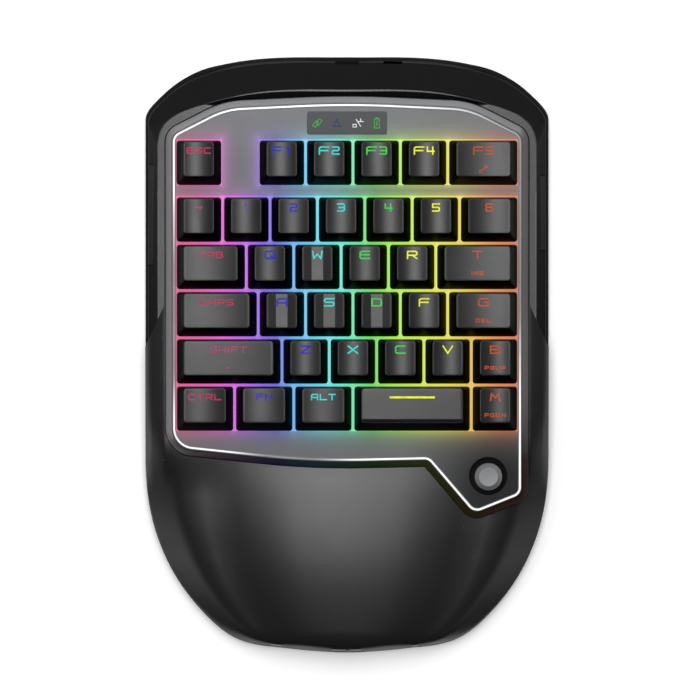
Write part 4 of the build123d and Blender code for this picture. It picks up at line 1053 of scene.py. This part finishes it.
def strokeShell(line, width, topHeight):
    # A flat ribbon along a polyline, cut into short steps and mitred at its corners: the points stand off by
    # half the width along the mean of the two normals over its cosine. The ribbon follows the surface
    line = np.asarray(line, float)
    legs = np.hypot(*np.diff(line, axis=0).T)
    closed = np.allclose(line[0], line[-1])
    if not closed:
        direction = (line[1] - line[0]) / legs[0], (line[-1] - line[-2]) / legs[-1]
        line[0] -= direction[0] * width / 2
        line[-1] += direction[1] * width / 2
        legs = np.hypot(*np.diff(line, axis=0).T)
    cuts = np.maximum(np.ceil(legs / legend["step"]).astype(int), 1)
    stations = np.concatenate([index + np.arange(count) / count for index, count in enumerate(cuts)]
                              + [[len(legs)]])
    path = np.stack([np.interp(stations, np.arange(len(line)), line[:, axis]) for axis in (0, 1)], -1)
    if closed:
        path = path[:-1]
        before, after = path - np.roll(path, 1, 0), np.roll(path, -1, 0) - path
    else:
        steps = np.diff(path, axis=0)
        before, after = np.concatenate([steps[:1], steps]), np.concatenate([steps, steps[-1:]])
    before, after = before / np.hypot(*before.T)[:, None], after / np.hypot(*after.T)[:, None]
    normalBefore, normalAfter = before[:, ::-1] * [-1, 1], after[:, ::-1] * [-1, 1]
    mean = normalBefore + normalAfter
    mean /= np.maximum((mean * normalAfter).sum(1), legend["leastCosine"])[:, None]
    left, right = path + mean * width / 2, path - mean * width / 2
    edges = [(left, legend["proud"]), (right, legend["proud"]),
             (right, -legend["sunk"]), (left, -legend["sunk"])]
    loops = [np.concatenate([edge, (topHeight(*edge.T) + rise)[:, None]], -1) for edge, rise in edges]
    faces = gridQuads(len(path), 4, closed, True)
    if not closed:
        ends = np.array([[3, 2, 1, 0], [0, 1, 2, 3]]) + [[0], [4 * (len(path) - 1)]]
        faces = np.concatenate([faces, ends])
    return np.stack(loops, 1).reshape(-1, 3), faces, 0


def letterWidth(letter, text, size):
    # A digit beside a letter has a digit's width, and an I inside a word is narrow
    if letter.isdigit() and size is legend["letter"]:
        return legend["digit"][0]
    return size[0] * (legend["narrowShare"] if letter == "I" and len(text) > 1 else 1)


def wordShells(text, size, stroke, centreY, topHeight):
    # Letters side by side, centred: each glyph's unit strokes scaled to the letter's width and height
    height, gap = size[1:]
    widths = [letterWidth(letter, text, size) for letter in text]
    left = -(sum(widths) + gap * (len(text) - 1)) / 2
    shells = []
    for letter, width in zip(text, widths):
        corner = [left + stroke / 2, centreY - height / 2 + stroke / 2]
        for line in glyphs[letter]:
            line = np.array(line) * [width - stroke, height - stroke] + corner
            shells.append(strokeShell(line, stroke, topHeight))
        left += width + gap
    return shells


def legendShells(keyName, surface):
    # What stands behind on a cap, at a size by its kind (sign, digit, letter or word), and what stands ahead
    text, stroke, behind = behindWords.get(keyName, keyName.upper()), legend["stroke"], legend["behind"]
    if text == "_":
        size, stroke, behind = legend[text], legend["barStroke"], behind - legend["barDrop"]
    elif text == "~" or text.isdigit():
        size = legend.get(text, legend["digit"])
    elif len(text) == 1 or (len(text) == 2 and text[1].isdigit()):
        size = legend["letter"]
    else:
        size, stroke = legend["word"], stroke * legend["wordShare"]
    shells = wordShells(text, size, stroke, behind, surface)
    if keyName in aheadWords:
        second = aheadWords[keyName]
        size = legend.get(second, legend["small"])
        shells += wordShells(second, size, legend["smallStroke"], legend["ahead"], surface)
    return shells


for keys, colours in legendRows:
    for keyName, colourName in zip(keys.split(), colours.split()):
        units, u, v = places[keyName]
        shells = legendShells(keyName, functools.partial(capTop, keyName, units))
        placed = onDeck(shells, u, v, keycap["skirtHeight"])
        addPiece(f"legend_{keyName}", placed, [legendMaterials[colourName]], f"key_{keyName}_body")
print("stage: legends", len(places))


# Status signs in the window

window = {
    "v": 93.51, "proud": 0.03, "stroke": 0.32, "places": (-11.95, -4.05, 4.3, 12.0),
    # Display colour and strength of each light
    "green": ((60, 176, 62), 1.0), "blue": ((26, 60, 128), 0.7), "white": ((228, 230, 232), 1.0),
}
signStrokes = {
    "link": ("green", [[(-1.9, -1.0), (-0.6, 0.9), (0.5, 0.2), (-0.7, -1.7), (-1.9, -1.0)],
                       [(1.9, 1.0), (0.6, -0.9), (-0.5, -0.2), (0.7, 1.7), (1.9, 1.0)]]),
    "warn": ("blue", [[(-1.5, -1.3), (1.5, -1.3), (0, 1.5), (-1.5, -1.3)]]),
    "mode": ("white", [[(-1.9, -1.6), (-0.6, -1.6), (-0.6, -0.5), (-1.9, -0.5), (-1.9, -1.6)],
                       [(-0.6, 1.5), (1.2, -1.3)], [(0.2, 0.6), (2.2, 0.6)], [(1.2, 0.6), (1.2, 1.7)]]),
    "charge": ("green", [[(-1.0, -2.0), (1.0, -2.0), (1.0, 1.7), (-1.0, 1.7), (-1.0, -2.0)],
                         [(-0.35, 2.1), (0.35, 2.1)], [(0.3, 0.9), (-0.3, -0.1), (0.3, -0.1), (-0.3, -1.1)]]),
}
signMaterials = {name: lamplit(f"sign_{name}", *window[name]) for name in ("green", "blue", "white")}


def windowTop(x, y):
    # One level everywhere, a little proud of the deck's plane
    return np.full_like(x, window["proud"])


for (signName, (colourName, lines)), u in zip(signStrokes.items(), window["places"]):
    shells = [strokeShell(line, window["stroke"], windowTop) for line in lines]
    addPiece(f"sign_{signName}", onDeck(shells, u, window["v"]), [signMaterials[colourName]], "case")
print("stage: status signs")


# Joystick cap

thumb = {
    "profile": [
        (0.0, 5.92), (1.8, 5.95), (3.0, 6.03), (3.6, 6.14), (3.82, 6.15), (3.95, 6.06), (4.05, 5.88),
        (4.3, 5.72), (4.75, 5.55), (5.1, 5.34), (5.35, 5.05), (5.5, 4.7), (5.55, 4.4), (5.55, 4.2),
        (5.45, 3.85), (5.2, 3.6), (4.8, 3.5), (2.4, 3.5), (0.0, 3.5)],
    # Per side of that profile, 1 for the dish, painted paler as a painted highlight, and 0 for the rest
    "slots": [1, 1, 1, 1, 0, 0, 0, 0, 0, 0, 0, 0, 0, 0, 0, 0, 0, 0],
    # Where it stands, as shares of the deck's half width and of its length from the front edge
    "across": 0.817, "along": -0.043, "turns": 96,
}
stickU = deck["halfWidth"] * thumb["across"]
stickV = deck["front"] + deck["length"] * thumb["along"]
stickCap = addPiece("stick_cap", [lathe(thumb["profile"], stickU, stickV, thumb["turns"], thumb["slots"])],
                    [materials["stick"], materials["stickDishPaintedHighlight"]], "stick")
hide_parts("joystick_cap")
print("stage: joystick cap")


# Floor, lights and camera

studio = {
    "floorHalf": 6.0, "floorColour": (238, 238, 238), "floorLevel": 0.1, "floorLift": 0.27,
    "floorGrain": (0.9, 40.0, 1.5, 0.01, 0.05, 0.02),
    "cameraPlace": (0.0012, 0.0020, 3.6), "lens": 456.6, "sensor": 36.0, "clipStart": 0.01, "clipEnd": 50.0,
    # Radiance of the room: all over, and of a band above the horizon to the left, the right and the rear
    "ambient": 0.05, "left": 1.9, "right": 1.3, "rear": 3.3, "frontEnd": -0.65, "sideEnd": -0.3,
    "rearStart": 0.3, "bandTop": 0.86, "bandFull": 0.58,
    # The lamp overhead: its place, its size along x and y, and its watts
    "stripPlace": (-0.01, 0.11, 0.62), "stripX": 0.13, "stripY": 0.48, "stripWatts": 1.92,
}


def makeRoom():
    # Radiance = ambient + band(z) * front(y) * (left, right or rear share by the direction's own x and y)
    world = bpy.data.worlds.new("softRoom")
    world.use_nodes = True
    sky = world.node_tree
    x, y, z = put(sky, "SeparateXYZ", {0: put(sky, "TexCoord").outputs["Generated"]}).outputs
    band = ramped(sky, z, studio["bandTop"], studio["bandFull"])
    front = ramped(sky, y, studio["frontEnd"], studio["sideEnd"])
    across = ramped(sky, x, -1.0, 1.0, studio["left"], studio["right"], "LINEAR")
    behind = ramped(sky, y, studio["rearStart"], 1.0, kind="LINEAR")
    side = work(sky, "MULTIPLY_ADD", behind, studio["rear"] - studio["left"], across)
    level = work(sky, "MULTIPLY_ADD", work(sky, "MULTIPLY", band, front), side, studio["ambient"])
    sky.links.new(level, sky.nodes["Background"].inputs["Strength"])
    sky.nodes["Background"].inputs["Color"].default_value = (1.0, 1.0, 1.0, 1.0)
    bpy.context.scene.world = world


def addObject(name, data, place=(0, 0, 0)):
    # For the floor, the lamp and the camera only
    item = bpy.data.objects.new(name, data)
    item.location = place
    bpy.context.scene.collection.objects.link(item)
    return item


def makeFloor():
    # A pale sheet, lifted by light of its own where the camera sees it straight, in a mirror or through glass
    half = studio["floorHalf"]
    corners = [(-half, -half, 0), (half, -half, 0), (half, half, 0), (-half, half, 0)]
    mesh = bpy.data.meshes.new("floor")
    mesh.from_pydata(corners, [], [(0, 1, 2, 3)])
    addObject("floor", mesh)
    material, tree, shader, place = startMaterial("paleFloor", studio["floorLevel"])
    roughen(tree, shader, place, studio["floorColour"], *studio["floorGrain"])
    path = put(tree, "LightPath").outputs
    seen = work(tree, "MAXIMUM", path["Is Glossy Ray"], path["Is Transmission Ray"])
    seen = work(tree, "MAXIMUM", path["Is Camera Ray"], seen)
    strength = work(tree, "MULTIPLY", seen, studio["floorLift"])
    lift = put(tree, "Emission", {"Color": (1, 1, 1, 1), "Strength": strength})
    added = put(tree, "AddShader", {0: shader.outputs[0], 1: lift.outputs[0]})
    tree.links.new(added.outputs[0], tree.nodes["Material Output"].inputs["Surface"])
    mesh.materials.append(material)


def makeStudio():
    # The floor, the room's light, one lamp overhead and the camera straight above with a long lens
    makeFloor()
    makeRoom()
    strip = bpy.data.lights.new("overheadStrip", "AREA")
    strip.shape = "RECTANGLE"
    strip.size, strip.size_y, strip.energy = studio["stripX"], studio["stripY"], studio["stripWatts"]
    addObject("overheadStrip", strip, studio["stripPlace"]).visible_camera = False
    view = bpy.data.cameras.new("camera")
    view.lens, view.sensor_width = studio["lens"], studio["sensor"]
    view.clip_start, view.clip_end = studio["clipStart"], studio["clipEnd"]
    bpy.context.scene.camera = addObject("camera", view, studio["cameraPlace"])
    bpy.context.scene.view_settings.view_transform = "Standard"


makeStudio()
print("stage: studio")
